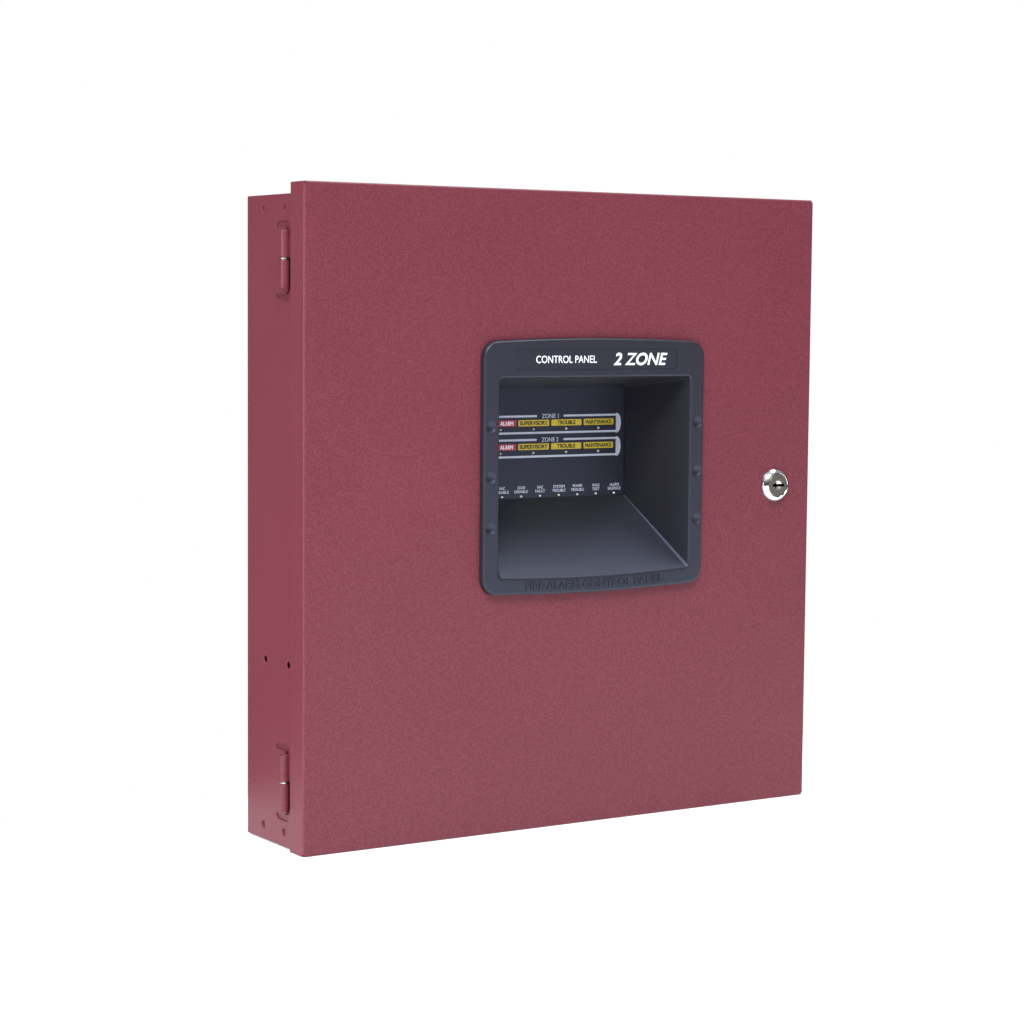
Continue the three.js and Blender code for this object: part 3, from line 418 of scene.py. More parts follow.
def clear_glass():
    """Thin clear glass, through which the fuse's ends show."""
    material, _, shader, _ = new_material("fuse_glass", 0.05, Transmission_Weight=0.9)
    shader.inputs["Base Color"].default_value = colour("#e6efef")
    return material


def print_ink(name, low, high):
    """Screen-printed ink."""
    material, tree, shader, place = new_material(name, 0.42)
    noise = grain(tree, shader, place, 0.8 * MM, 0.004 * MM, strength=0.3)
    paint_by(tree, shader, noise.outputs["Fac"], low, high)
    return material


glass = clear_glass()
ink_pale = print_ink("ink_pale_blue", "#b6c0d6", "#c6cfe0")
ink_white = print_ink("ink_white", "#e6eaf2", "#f6f8fc")
ink_yellow = print_ink("ink_yellow", "#cbb22a", "#dac638")
ink_red = print_ink("ink_red", "#b02f45", "#bf3a52")
ink_black = print_ink("ink_black", "#1d1c22", "#26252c")
print("materials:", len(bpy.data.materials))


# %% [markdown]
# The door is one sheet folded on all four sides. It starts as the flat front between the folds,
# cut by level and upright lines into cells. The cell behind the bezel is removed, and the one at
# the lock is replaced by a ring of faces round a hole, made by bridging the square to a circle.

# %% A flat sheet with openings
def flat_front(low, high, cuts_x, cuts_z, y):
    """A flat sheet across XZ, divided by upright and level lines."""
    bm = bmesh.new()
    bmesh.ops.create_grid(bm, x_segments=1, y_segments=1, size=0.5)
    face_front(bm, bm.verts)
    bmesh.ops.scale(bm, vec=(high[0] - low[0], 1, high[1] - low[1]), verts=bm.verts)
    middle = Vector(((low[0] + high[0]) / 2, y, (low[1] + high[1]) / 2))
    bmesh.ops.translate(bm, vec=middle, verts=bm.verts)
    upright = [((x, 0, 0), (1, 0, 0)) for x in cuts_x]
    level = [((0, 0, z), (0, 0, 1)) for z in cuts_z]
    for at, normal in upright + level:
        everything = bm.verts[:] + bm.edges[:] + bm.faces[:]
        bmesh.ops.bisect_plane(bm, geom=everything, plane_co=at, plane_no=normal)
    return bm


def remove_cells(bm, x0, x1, z0, z1):
    """Deletes the faces whose middles lie within these limits."""
    inside = [
        f
        for f in bm.faces
        if x0 < f.calc_center_median().x < x1 and z0 < f.calc_center_median().z < z1
    ]
    bmesh.ops.delete(bm, geom=inside, context="FACES")


def round_hole(bm, x, z, y, radius, cell):
    """Replaces a square cell with a ring of faces round a hole."""
    parts_a_side = 8
    near = cell + 0.01 * MM

    def square():
        return [
            e
            for e in bm.edges
            if all(abs(v.co.x - x) < near and abs(v.co.z - z) < near for v in e.verts)
        ]

    remove_cells(bm, x - cell, x + cell, z - cell, z + cell)
    bmesh.ops.subdivide_edges(bm, edges=square(), cuts=parts_a_side - 1)
    rim = square()
    # The circle starts turned by an eighth, so that its points face the square's, and it stays a
    # little behind the sheet while the two are bridged.
    ring = bmesh.ops.create_circle(
        bm, cap_ends=False, segments=4 * parts_a_side, radius=radius
    )["verts"]
    turned = Matrix.Rotation(math.pi / 2, 3, "X") @ Matrix.Rotation(math.pi / 4, 3, "Z")
    bmesh.ops.rotate(bm, verts=ring, cent=(0, 0, 0), matrix=turned)
    bmesh.ops.translate(bm, verts=ring, vec=(x, y + cell, z))
    ring_edges = list({e for v in ring for e in v.link_edges})
    bmesh.ops.bridge_loops(bm, edges=rim + ring_edges)
    bmesh.ops.translate(bm, verts=ring, vec=(0, -cell, 0))


# %% [markdown]
# Each edge of the flat front is then spun a quarter turn to make its fold and pulled back to make
# its flange, as a press brake would bend it. The folds stop short of the corners, which leaves
# the small square relief notch that folded sheet has there, and the flanges reach past them to
# close the corner.

# %% Folding an edge
def fold_back(bm, edges, axis_at, axis, depth, reach):
    """Bends the sheet a quarter turn along these edges, then pulls out a flange of this depth.

    The flange is longer than the bend at both ends, by the reach."""
    ends = list({v for e in edges for v in e.verts})
    bent = bmesh.ops.spin(
        bm, geom=ends + edges, cent=axis_at, axis=axis, dvec=(0, 0, 0), angle=math.pi / 2, steps=6
    )
    last = [g for g in bent["geom_last"] if isinstance(g, bmesh.types.BMEdge)]
    along = Vector(axis)
    for step in (reach, depth - reach):
        pulled = bmesh.ops.extrude_edge_only(bm, edges=last)["geom"]
        last = [g for g in pulled if isinstance(g, bmesh.types.BMEdge)]
        moved = [g for g in pulled if isinstance(g, bmesh.types.BMVert)]
        bmesh.ops.translate(bm, verts=moved, vec=(0, step, 0))
        if step == reach:
            for pick, way in ((max, 1), (min, -1)):
                end = pick(moved, key=lambda v: v.co.dot(along))
                bmesh.ops.translate(bm, verts=[end], vec=along * way * reach)


# %% [markdown]
# The sheet is made from its sizes: the fold's radius to the outside, how far the opening stays
# inside the bezel's outline, and the shallow flange along the bottom. Solidify gives it its
# thickness inwards, so the outside keeps its place, and a small bevel takes the sharpness off the
# cut edges.

# %% The folded door
sheet = 1.2 * MM
fold = 1.4 * MM
bottom_flange = 7 * MM
lock_hole = 9.6 * MM
bezel_low, bezel_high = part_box("bezel")
housing_low, housing_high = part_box("lock_housing")
lock_x = (housing_low.x + housing_high.x) / 2
lock_z = (housing_low.z + housing_high.z) / 2


def door_sheet():
    x0, x1 = door_low.x + fold, door_high.x - fold
    z0, z1 = door_low.z + fold, door_high.z - fold
    y = door_low.y
    inset, lock_cell, touching = 9 * MM, 12 * MM, 0.001 * MM
    top_inset = 2.2 * inset
    opening = (
        bezel_low.x + inset,
        bezel_high.x - inset,
        bezel_low.z + inset,
        bezel_high.z - top_inset,
    )
    cuts_x = [opening[0], opening[1], lock_x - lock_cell, lock_x + lock_cell]
    cuts_z = [opening[2], opening[3], lock_z - lock_cell, lock_z + lock_cell]
    bm = flat_front((x0, z0), (x1, z1), cuts_x, cuts_z, y)
    remove_cells(bm, *opening)
    round_hole(bm, lock_x, lock_z, y, lock_hole, lock_cell)
    flange = door_high.y - y - fold
    side_reach, end_reach = fold - 0.2 * MM, fold - sheet - 0.15 * MM
    # Each side: the letter and place of its edge, a point on the fold's axis and its direction, the
    # flange's depth, and how far the flange reaches past the fold.
    sides = (
        ("x", x0, (x0, y + fold, 0), (0, 0, -1), flange, side_reach),
        ("x", x1, (x1, y + fold, 0), (0, 0, 1), flange, side_reach),
        ("z", z1, (0, y + fold, z1), (-1, 0, 0), flange, end_reach),
        ("z", z0, (0, y + fold, z0), (1, 0, 0), bottom_flange - fold, end_reach),
    )
    picked = [
        [e for e in bm.edges if all(abs(getattr(v.co, letter) - at) < touching for v in e.verts)]
        for letter, at, *_ in sides
    ]
    for edges, (_, _, *how) in zip(picked, sides):
        fold_back(bm, edges, *how)
    bmesh.ops.remove_doubles(bm, verts=bm.verts, dist=touching)
    bmesh.ops.recalc_face_normals(bm, faces=bm.faces)
    front = max(bm.faces, key=lambda f: f.calc_area())
    if front.normal.y > 0:
        bmesh.ops.reverse_faces(bm, faces=bm.faces)
    bm.normal_update()
    return bm


door = finish_piece("door_sheet", door_sheet(), red, "door", ["door_shell"], 35)
thickness = door.modifiers.new("thickness", "SOLIDIFY")
thickness.thickness = sheet
thickness.offset = -1
rounding = door.modifiers.new("edge", "BEVEL")
rounding.width = 0.25 * MM
rounding.segments = 2
rounding.limit_method = "ANGLE"
rounding.angle_limit = math.radians(50)
door.modifiers.move(door.modifiers.find("even_shading"), len(door.modifiers) - 1)
print("door sheet:", len(door.data.polygons), "faces")


# %% [markdown]
# The bezel is one moulding: a frame on the door's face and a hood that narrows back to the
# display. Its places come from the bezel's box in the frame: the rails beside the window, the
# band above it for the nameplate, and the sight, which is the small opening at the hood's far
# end. The window is a little wider than the rails leave it, as its edge is softened.

# %% Sizes of the bezel
bow = 2.3 * MM
rail = 10.6 * MM
top_band = 21.1 * MM
bottom_band = 9 * MM
hood_wall = 2.2 * MM
sight_width = 113 * MM
sight_rise = 42.8 * MM
sight_height = 69.3 * MM
soften = 0.45 * MM
window_x0, window_x1 = bezel_low.x + rail - soften, bezel_high.x - rail + soften
window_z0 = bezel_low.z + bow + bottom_band
window_z1 = bezel_high.z - bow - top_band
window_x = (window_x0 + window_x1) / 2
sight_z0 = window_z0 + sight_rise
sight_z1 = sight_z0 + sight_height
bezel_front, hood_rear = bezel_low.y, bezel_high.y
# The moulding and the lock sit a hair in front of the door's face, so no two surfaces coincide.
seat_y = door_low.y - 0.1 * MM
print("window:", round((window_x1 - window_x0) / MM, 1), "mm wide")


# %% [markdown]
# The moulding is lofted from closed outlines, each a rectangle with rounded corners and gently
# bowed top and bottom edges. An outline starts as a flat face whose corners are bevelled and
# whose four long sides are divided. Its points are then read off in order from the middle of its
# top edge, so that every outline starts at the same place and has the same number of points.

# %% An outline of the moulding
def outline(x0, x1, z0, z1, y, radius, bow_up=0.0, bow_down=0.0):
    """A closed row of points: a rounded rectangle whose top and bottom edges bow outwards."""
    bm = bmesh.new()
    made = bmesh.ops.create_grid(bm, x_segments=1, y_segments=1, size=0.5)["verts"]
    face_front(bm, made)
    bmesh.ops.scale(bm, verts=made, vec=(x1 - x0, 1, z1 - z0))
    middle = Vector(((x0 + x1) / 2, y, (z0 + z1) / 2))
    bmesh.ops.translate(bm, verts=made, vec=middle)
    bmesh.ops.bevel(
        bm,
        geom=made,
        offset=radius,
        offset_type="OFFSET",
        segments=8,
        profile=0.5,
        affect="VERTICES",
        material=-1,
    )
    face = next(iter(bm.faces))
    sides = sorted(face.edges, key=lambda e: -e.calc_length())[:4]
    bmesh.ops.delete(bm, geom=[face], context="FACES_ONLY")
    split = bmesh.ops.subdivide_edges(bm, edges=sides, cuts=15)["geom_inner"]
    above = [g for g in split if isinstance(g, bmesh.types.BMVert) and g.co.z > middle.z]
    first = min(above, key=lambda v: abs(v.co.x - middle.x))
    row, edge = [first], max(first.link_edges, key=lambda e: e.other_vert(first).co.x)
    while edge.other_vert(row[-1]) is not first:
        row.append(edge.other_vert(row[-1]))
        edge = next(e for e in row[-1].link_edges if e is not edge)
    for v in row:
        across = (v.co.x - middle.x) / (x1 - x0) * 2
        v.co.z += (1 - across**2) * (bow_up if v.co.z > middle.z else -bow_down)
    points = [v.co.copy() for v in row]
    bm.free()
    return points


def neighbours(row):
    """Each point of a closed row with the next one."""
    return list(zip(row, row[1:] + row[:1]))


# %% [markdown]
# The outlines follow the wall all the way round: the rim on the door, the frame's front edge, the
# window, the sight, and then back along the outside of the hood to the door. Joining each to the
# next, and the last to the first, makes a closed wall. The frame's front edge and the window's
# edge are then bevelled. The rim flares out a little past its front edge, as a moulding does to
# leave its mould.

# %% The wall of the moulding
def moulding_outlines():
    flare, draft = 0.7 * MM, 0.55 * MM
    flare_up, draft_up = flare * 0.6, draft * 0.8
    rim_radius, front_radius, window_radius = 9.7 * MM, 9 * MM, 2.4 * MM
    sight_radius, hood_radius, hood_front_radius = 0.8 * MM, 3 * MM, 4 * MM
    x0, x1 = bezel_low.x - flare, bezel_high.x + flare
    z0, z1 = bezel_low.z + bow - flare, bezel_high.z - bow + flare_up
    sight_x0, sight_x1 = window_x - sight_width / 2, window_x + sight_width / 2
    # The hood has a thicker floor than its sides, and at the door it has narrowed by its share.
    floor_wall, roof_wall = 1.3 * hood_wall, hood_wall * 0.4
    depth_share = (door_low.y - bezel_front) / (hood_rear - bezel_front)
    neck = ((window_x1 - window_x0) / 2 - sight_width / 2) * depth_share
    hood_x0, hood_x1 = window_x0 + neck - hood_wall, window_x1 - neck + hood_wall
    hood_z0 = window_z0 + sight_rise * depth_share - floor_wall
    hood_z1 = window_z1 + roof_wall
    return [
        outline(x0, x1, z0, z1, seat_y, rim_radius, bow, bow),
        outline(
            x0 + draft,
            x1 - draft,
            z0 + draft_up,
            z1 - draft_up,
            bezel_front,
            front_radius,
            bow,
            bow,
        ),
        outline(
            window_x0, window_x1, window_z0, window_z1, bezel_front, window_radius, 0, bow
        ),
        outline(sight_x0, sight_x1, sight_z0, sight_z1, hood_rear, sight_radius),
        outline(
            sight_x0 - hood_wall,
            sight_x1 + hood_wall,
            sight_z0 - floor_wall,
            sight_z1 + hood_wall,
            hood_rear,
            hood_radius,
        ),
        outline(
            hood_x0,
            hood_x1,
            hood_z0,
            hood_z1,
            seat_y,
            hood_front_radius,
            0,
            bow * (1 - depth_share),
        ),
    ]


def bezel_shell():
    bm = bmesh.new()
    rows = [[bm.verts.new(point) for point in row] for row in moulding_outlines()]
    # Bridging joins the nearest points, which twists between corners of such different radii, so
    # each point is joined to its twin in the next row.
    for here, after in zip(rows, rows[1:] + rows[:1]):
        for (a, b), (d, c) in zip(neighbours(here), neighbours(after)):
            bm.faces.new((a, b, c, d))
    bmesh.ops.recalc_face_normals(bm, faces=bm.faces)
    for row, width in ((rows[1], 1.5 * MM), (rows[2], 1.1 * MM)):
        bmesh.ops.bevel(
            bm,
            geom=[bm.edges.get(pair) for pair in neighbours(row)],
            offset=width,
            offset_type="OFFSET",
            segments=5,
            profile=0.5,
            affect="EDGES",
            material=-1,
            clamp_overlap=True,
        )
    print("bezel volume", round(bm.calc_volume(signed=True) * 1e6, 1), "cm3")
    print("open edges", sum(not e.is_manifold for e in bm.edges))
    return bm


# %% [markdown]
# Six shallow dimples, three down each rail, are pressed by balls that are larger than the dimples
# they leave. The ball's radius follows from the dimple's radius and depth. A rounded plate
# presses the seat of the nameplate, with a hair's breadth to spare round it.

# %% The dimples and the nameplate's seat
dimple_radius, dimple_depth = 3.75 * MM, 1.5 * MM
dimple_pitch = 30.4 * MM
dimple_to_window = 5.5 * MM
ball = (dimple_radius**2 + dimple_depth**2) / (2 * dimple_depth)
dimple_z = (window_z0 + window_z1) / 2 + 0.5 * MM
nameplate_low, nameplate_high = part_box("nameplate")
plate_corner = 3 * MM


def rounded_plate(bm, low, high, radius, segments=6):
    """A thin plate across XZ with rounded corners."""
    made = block(bm, low, high)
    edges = {e for v in made for e in v.link_edges}
    through = [e for e in edges if abs(e.verts[0].co.y - e.verts[1].co.y) > 0.0001 * MM]
    bmesh.ops.bevel(
        bm,
        geom=through,
        offset=radius,
        offset_type="OFFSET",
        segments=segments,
        profile=0.5,
        affect="EDGES",
        material=-1,
    )
    return made


def bezel_cutters():
    spare, seat_depth = 0.12 * MM, 0.6 * MM
    bm = bmesh.new()
    for x in (window_x0 - dimple_to_window, window_x1 + dimple_to_window):
        for step in (-1, 0, 1):
            made = bmesh.ops.create_uvsphere(bm, u_segments=32, v_segments=24, radius=ball)["verts"]
            face_front(bm, made)
            centre = (x, bezel_front + dimple_depth - ball, dimple_z + step * dimple_pitch)
            bmesh.ops.translate(bm, verts=made, vec=centre)
    low = nameplate_low - Vector((spare, 0, spare))
    high = nameplate_high + Vector((spare, 0, spare))
    low.y, high.y = bezel_front - 1 * MM, bezel_front + seat_depth
    rounded_plate(bm, low, high, plate_corner)
    return bm


moulding = cut(bezel_shell(), bezel_cutters())
bezel = finish_piece(
    "bezel_moulding", moulding, abs_black, "door", ["bezel"], smooth=42
)
print("bezel faces", len(bezel.data.polygons))


# %% [markdown]
# Lettering starts as a text object, which Blender turns into a mesh. Moulded letters stand proud
# of the plastic, and printed ones are a film of ink a few hundredths of a millimetre thick. The
# words along the bezel's lower rail follow its bow, so the ends of that mesh are lifted to match.

# %% Lettering
def text_mesh(name, words, slant):
    """Words as a bmesh, a metre high, because small outlines don't fill cleanly."""
    curve = bpy.data.curves.new(name, "FONT")
    curve.body = words
    curve.size = 1
    curve.shear = slant
    curve.extrude = 0.1
    curve.resolution_u = 4
    text = bpy.data.objects.new(name, curve)
    bpy.context.collection.objects.link(text)
    depsgraph = bpy.context.evaluated_depsgraph_get()
    mesh = bpy.data.meshes.new_from_object(text.evaluated_get(depsgraph))
    bpy.data.objects.remove(text)
    bpy.data.curves.remove(curve)
    bm = bmesh.new()
    bm.from_mesh(mesh)
    bpy.data.meshes.remove(mesh)
    bmesh.ops.remove_doubles(bm, verts=bm.verts, dist=1e-5)
    return bm


def lettering(name, words, size, centre, material, body, slant=0.0, weight=0.0, arc=0.0):
    """Words that face the front, with a size of width, height and thickness, centred on a point.

    Weight moves the outline outwards, and arc lifts the ends above the middle."""
    bm = text_mesh(name, words, slant)
    width = size[0]
    low = Vector([min(v.co[i] for v in bm.verts) for i in range(3)])
    high = Vector([max(v.co[i] for v in bm.verts) for i in range(3)])
    bmesh.ops.translate(bm, verts=bm.verts, vec=-(low + high) / 2)
    to_size = [Vector(size)[i] / (high[i] - low[i]) for i in range(3)]
    bmesh.ops.scale(bm, verts=bm.verts, vec=to_size)
    bm.normal_update()
    outwards = [(v, Vector((v.normal.x, v.normal.y, 0)).normalized()) for v in bm.verts]
    for v, way in outwards:
        v.co += way * weight
        v.co.y += arc * (2 * v.co.x / width) ** 2
    face_front(bm, bm.verts)
    bmesh.ops.translate(bm, verts=bm.verts, vec=centre)
    return finish_piece(name, bm, material, body, smooth=30)


# %% [markdown]
# The same helper makes the moulded words below the window and the printed ones on the nameplate,
# which is a thin film in its seat at the top of the bezel. The words only say what the panel is.

# %% The moulded words and the nameplate
lettering(
    "moulded_words",
    "FIRE ALARM CONTROL PANEL",
    (102 * MM, 4.4 * MM, 1.0 * MM),
    (window_x, bezel_front, bezel_low.z + 5.0 * MM),
    abs_black,
    "door",
    weight=0.16 * MM,
    arc=1.0 * MM,
)
plate = bmesh.new()
rounded_plate(plate, nameplate_low, nameplate_high, plate_corner)
finish_piece("nameplate_film", plate, film, "door", ["nameplate"], edge=0.12 * MM)
plate_z = (nameplate_low.z + nameplate_high.z) / 2
ink_y = nameplate_low.y - 0.01 * MM
ink_depth = 0.06 * MM
# Each: its name, its words, width, height, distance right of the middle, slant and weight.
words_on_plate = (
    ("nameplate_words", "CONTROL PANEL", 44 * MM, 4.4 * MM, -23 * MM, 0.0, 0.06 * MM),
    ("nameplate_zones", "2 ZONE", 40 * MM, 7.2 * MM, 32 * MM, 0.25, 0.32 * MM),
)
for name, words, width, height, right, slant, weight in words_on_plate:
    size, centre = (width, height, ink_depth), (window_x + right, ink_y, plate_z)
    lettering(name, words, size, centre, ink_white, "door", slant, weight)
print("lettering on the door:", 1 + len(words_on_plate))


# %% [markdown]
# The lock is a turned housing with a domed collar, and a plug with a satin face inside it. Both
# are profiles of radius and depth, spun round the lock's axis. The collar's dome is part of a
# circle, stretched to run from the lip round the plug to the collar's edge at the door.

# %% The lock's collar
def spun(profile, steps=48):
    """Turns a profile of (radius, y) points round the lock's axis."""
    bm = bmesh.new()
    verts = [bm.verts.new((lock_x + radius, y, lock_z)) for radius, y in profile]
    edges = [bm.edges.new(pair) for pair in zip(verts, verts[1:])]
    bmesh.ops.spin(
        bm,
        geom=verts + edges,
        cent=(lock_x, 0, lock_z),
        axis=(0, 1, 0),
        angle=2 * math.pi,
        steps=steps,
        use_merge=True,
    )
    bmesh.ops.remove_doubles(bm, verts=bm.verts, dist=0.001 * MM)
    bmesh.ops.recalc_face_normals(bm, faces=bm.faces)
    return bm


lock_face = housing_low.y
collar_radius = (housing_high.x - housing_low.x) / 2 + 0.4 * MM
plug_low, plug_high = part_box("lock_plug")
plug_radius = (plug_high.x - plug_low.x) / 2
bore = plug_radius + 0.15 * MM
bore_edge = 0.25 * MM
barrel = 9.3 * MM
lip = 8 * MM
collar_back = seat_y - 0.2 * MM
dome_parts = 12


def dome():
    """The collar's rounded front, from the lip out to its edge."""
    start, end = math.radians(36), math.radians(78)
    points = []
    for step in range(dome_parts + 1):
        angle = start + step / dome_parts * (end - start)
        out = (math.sin(angle) - math.sin(start)) / (math.sin(end) - math.sin(start))
        back = (math.cos(start) - math.cos(angle)) / (math.cos(start) - math.cos(end))
        radius = lip + (collar_radius - lip) * out
        points.append((radius, lock_face + (collar_back - lock_face) * back))
    return points


housing_profile = [
    (bore, housing_high.y),
    (bore, lock_face + bore_edge),
    (bore + bore_edge, lock_face),
    *dome(),
    (collar_radius, seat_y),
    (barrel, seat_y),
    (barrel, housing_high.y),
    (bore, housing_high.y),
]
finish_piece("lock_collar", spun(housing_profile), chrome, "door", ["lock_housing"], 35)
print("collar:", round(2 * collar_radius / MM, 1), "mm across")


# %% [markdown]
# The plug has a polished dish round the keyway and a slot for the key cut across it. Behind its
# shoulder it narrows to the stud that carries the cam. A second material covers the dish.

# %% The lock's plug
face = plug_low.y
dish, dish_edge, dish_depth = 2.9 * MM, 0.3 * MM, 1.1 * MM
plug_edge = 0.3 * MM
stud = 2.4 * MM
shoulder = housing_high.y + 0.4 * MM
slot_left, slot_right, slot_half, slot_depth = 4.2 * MM, 5.2 * MM, 0.85 * MM, 9 * MM
plug_profile = [
    (0, face + dish_depth),
    (1.2 * MM, face + 1.0 * MM),
    (dish - dish_edge, face + 0.15 * MM),
    (dish, face),
    (plug_radius - plug_edge, face),
    (plug_radius, face + plug_edge),
    (plug_radius, shoulder),
    (stud, shoulder),
    (stud, plug_high.y),
    (0, plug_high.y),
]
key_slot = bmesh.new()
block(
    key_slot,
    (lock_x - slot_left, face - 1 * MM, lock_z - slot_half),
    (lock_x + slot_right, face + slot_depth, lock_z + slot_half),
)
turned_plug = cut(spun(plug_profile), key_slot)
plug = finish_piece(
    "lock_plug_turned", turned_plug, satin_steel, "lock", ["lock_plug"], smooth=25
)
plug.data.materials.append(chrome)
dish_faces = 0
for polygon in plug.data.polygons:
    centre = polygon.center
    beside = math.hypot(centre.x - lock_x, centre.z - lock_z)
    if beside < dish and centre.y < face + dish_depth + 0.1 * MM:
        polygon.material_index = 1
        dish_faces += 1
print("polished faces of the plug:", dish_faces)


# %% [markdown]
# Behind the hood is the display: a printed film over the indicators. Everything printed on it is
# a thin plate just in front of the film. The lamps' places come from the rows of light pipes in
# the frame: a row has a lamp at each end, a strip's end in from its edges, and the others evenly
# between.

# %% Places on the display
label_low, label_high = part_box("display_label")
lamp_rows = {name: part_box(f"light_pipes_{name}") for name in ("zone_1", "zone_2", "system")}
print_y = label_low.y - 0.02 * MM
print_depth = 0.03 * MM
strip_end = 3 * MM


def columns_of(row, count):
    """The places of a row's lamps, from left to right."""
    low, high = lamp_rows[row]
    gaps = count - 1
    spread = high.x - low.x - 2 * strip_end
    return [low.x + strip_end + step / gaps * spread for step in range(count)]


zone_columns = columns_of("zone_1", 4)
system_columns = columns_of("system", 8)
display_x = (zone_columns[0] + zone_columns[3]) / 2
print("zone columns at", [round(x / MM, 1) for x in zone_columns], "mm")


def printed_plate(bm, x0, x1, z0, z1, radius):
    """A plate of ink with rounded corners, added to the bmesh."""
    rounded_plate(bm, (x0, print_y - print_depth, z0), (x1, print_y, z1), radius, segments=3)


def finish_print(name, bm, ink):
    return finish_piece(name, bm, ink, "cabinet", smooth=30)


# %% [markdown]
# Each zone has a pale frame with its name in a gap of the top line, and a thick bracket at either
# end. A bracket is a strip of many short pieces. Its inner side stays straight, and its outer
# side is moved out along a parabola, with the last few pieces drawn in sharply to round its
# corners.

# %% The frame of a zone
line = 1.3 * MM
frame_half = 50.35 * MM
name_gap = 10.1 * MM
frame_rise, frame_drop = 8.1 * MM, 2.35 * MM
bracket_corner, bracket_bulge, bracket_past = 2.1 * MM, 3.9 * MM, 1.05 * MM
line_corner = 0.3 * MM


def end_bracket(bm, inner, corner, bulge, z0, z1):
    """The closing end of a zone's frame, from its inner side to where it bulges out."""
    corner_cut, corner_power = 0.45, 12
    made = bmesh.ops.create_grid(bm, x_segments=1, y_segments=16, size=0.5)["verts"]
    face_front(bm, made)
    for v in made:
        along = 2 * v.co.z
        outer = corner + (bulge - corner) * (1 - along**2)
        outer += (inner - outer) * corner_cut * along**corner_power
        v.co.x = outer if v.co.x * (corner - inner) > 0 else inner
        v.co.z = (z0 + z1) / 2 + along * (z1 - z0) / 2
        v.co.y = print_y
    faces = list({f for v in made for f in v.link_faces})
    pulled = bmesh.ops.extrude_face_region(bm, geom=faces)["geom"]
    front = [g for g in pulled if isinstance(g, bmesh.types.BMVert)]
    bmesh.ops.translate(bm, verts=front, vec=(0, -print_depth, 0))


def zone_frame(row, lamp_z):
    top, foot = lamp_z + frame_rise, lamp_z - frame_drop
    left, right = display_x - frame_half, display_x + frame_half
    bm = bmesh.new()
    lines = ((left, display_x - name_gap, top), (display_x + name_gap, right, top))
    for x0, x1, z in (*lines, (left, right, foot)):
        printed_plate(bm, x0, x1, z - line / 2, z + line / 2, line_corner)
    for way, edge in ((-1, left), (1, right)):
        corner, bulge = edge + way * bracket_corner, edge + way * bracket_bulge
        end_bracket(bm, edge, corner, bulge, foot - bracket_past, top + bracket_past)
    bmesh.ops.recalc_face_normals(bm, faces=bm.faces)
    finish_print(f"{row}_frame", bm, ink_pale)
    lettering(
        f"{row}_name",
        row.replace("_", " ").upper(),
        (12.5 * MM, 2.7 * MM, print_depth),
        (display_x, print_y - print_depth, top),
        ink_pale,
        "cabinet",
        weight=0.04 * MM,
    )


# %% [markdown]
# Over each lamp of a zone is a coloured label that says what the lamp means: one red for alarm,
# and three yellow for the rest. The alarm word stands right of its label's middle.

# %% The labels of a zone
label_half = 11.45 * MM
label_foot, label_top, label_words = 1.85 * MM, 5.75 * MM, 3.8 * MM
label_corner = 0.5 * MM
label_height = 2.35 * MM
# Each: the word, its width, how far right of the middle it stands, and the label's and word's inks.
labels = (
    ("ALARM", 9.4 * MM, 4.5 * MM, ink_red, ink_white),
    ("SUPERVISORY", 20.6 * MM, 0.0, ink_yellow, ink_black),
    ("TROUBLE", 13.6 * MM, 0.0, ink_yellow, ink_black),
    ("MAINTENANCE", 19.8 * MM, 0.0, ink_yellow, ink_black),
)


def zone_print(row):
    """The printing of one zone: its frame, its name, and a label over each lamp."""
    low, high = lamp_rows[row]
    lamp_z = (low.z + high.z) / 2
    zone_frame(row, lamp_z)
    for x, (word, width, right, ground, ink) in zip(zone_columns, labels):
        label = f"{row}_{word.lower()}"
        chip = bmesh.new()
        z0, z1 = lamp_z + label_foot, lamp_z + label_top
        printed_plate(chip, x - label_half, x + label_half, z0, z1, label_corner)
        finish_print(f"{label}_ground", chip, ground)
        lettering(
            label,
            word,
            (width, label_height, print_depth),
            (x + right, print_y - 1.5 * print_depth, lamp_z + label_words),
            ink,
            "cabinet",
            weight=0.16 * MM,
        )


for row in ("zone_1", "zone_2"):
    zone_print(row)
print("labels:", 2 * len(labels))


# %% [markdown]
# Below the zones is a row of small lamps for the whole system, each with a caption of two short
# lines. The letters are set to one width each, so a line is as wide as its count of letters.

# %% The captions of the system row
caption_height, letter_width = 1.75 * MM, 1.42 * MM
upper_line, lower_line = 5.45 * MM, 3.0 * MM
captions = (
    ("AC", "POWER"),
    ("NAC", "DISABLE"),
    ("ZONE", "DISABLE"),
    ("NAC", "FAULT"),
    ("SYSTEM", "TROUBLE"),
    ("POWER", "TROUBLE"),
    ("WALK", "TEST"),
    ("ALARM", "SILENCE"),
)
system_low, system_high = lamp_rows["system"]
system_z = (system_low.z + system_high.z) / 2
for index, (x, (upper, lower)) in enumerate(zip(system_columns, captions)):
    for part, words, up in (("upper", upper, upper_line), ("lower", lower, lower_line)):
        lettering(
            f"system_{index + 1}_{part}",
            words,
            (len(words) * letter_width, caption_height, print_depth),
            (x, print_y - print_depth, system_z + up),
            ink_pale,
            "cabinet",
            weight=0.05 * MM,
        )
print("captions:", len(captions))


# %% [markdown]
# Each lamp is the rounded end of a clear rod that brings light from the board to the film. A row
# of rods is one moulding: a flattened ball for each lamp, half sunk in the film, a rod behind
# each ball, and a bar that joins the rods at the back.

# %% The lamps
lamp_half = (0.8 * MM, 0.6 * MM, 0.65 * MM)
rod_radius = 0.7 * MM
bar_depth = 1.2 * MM


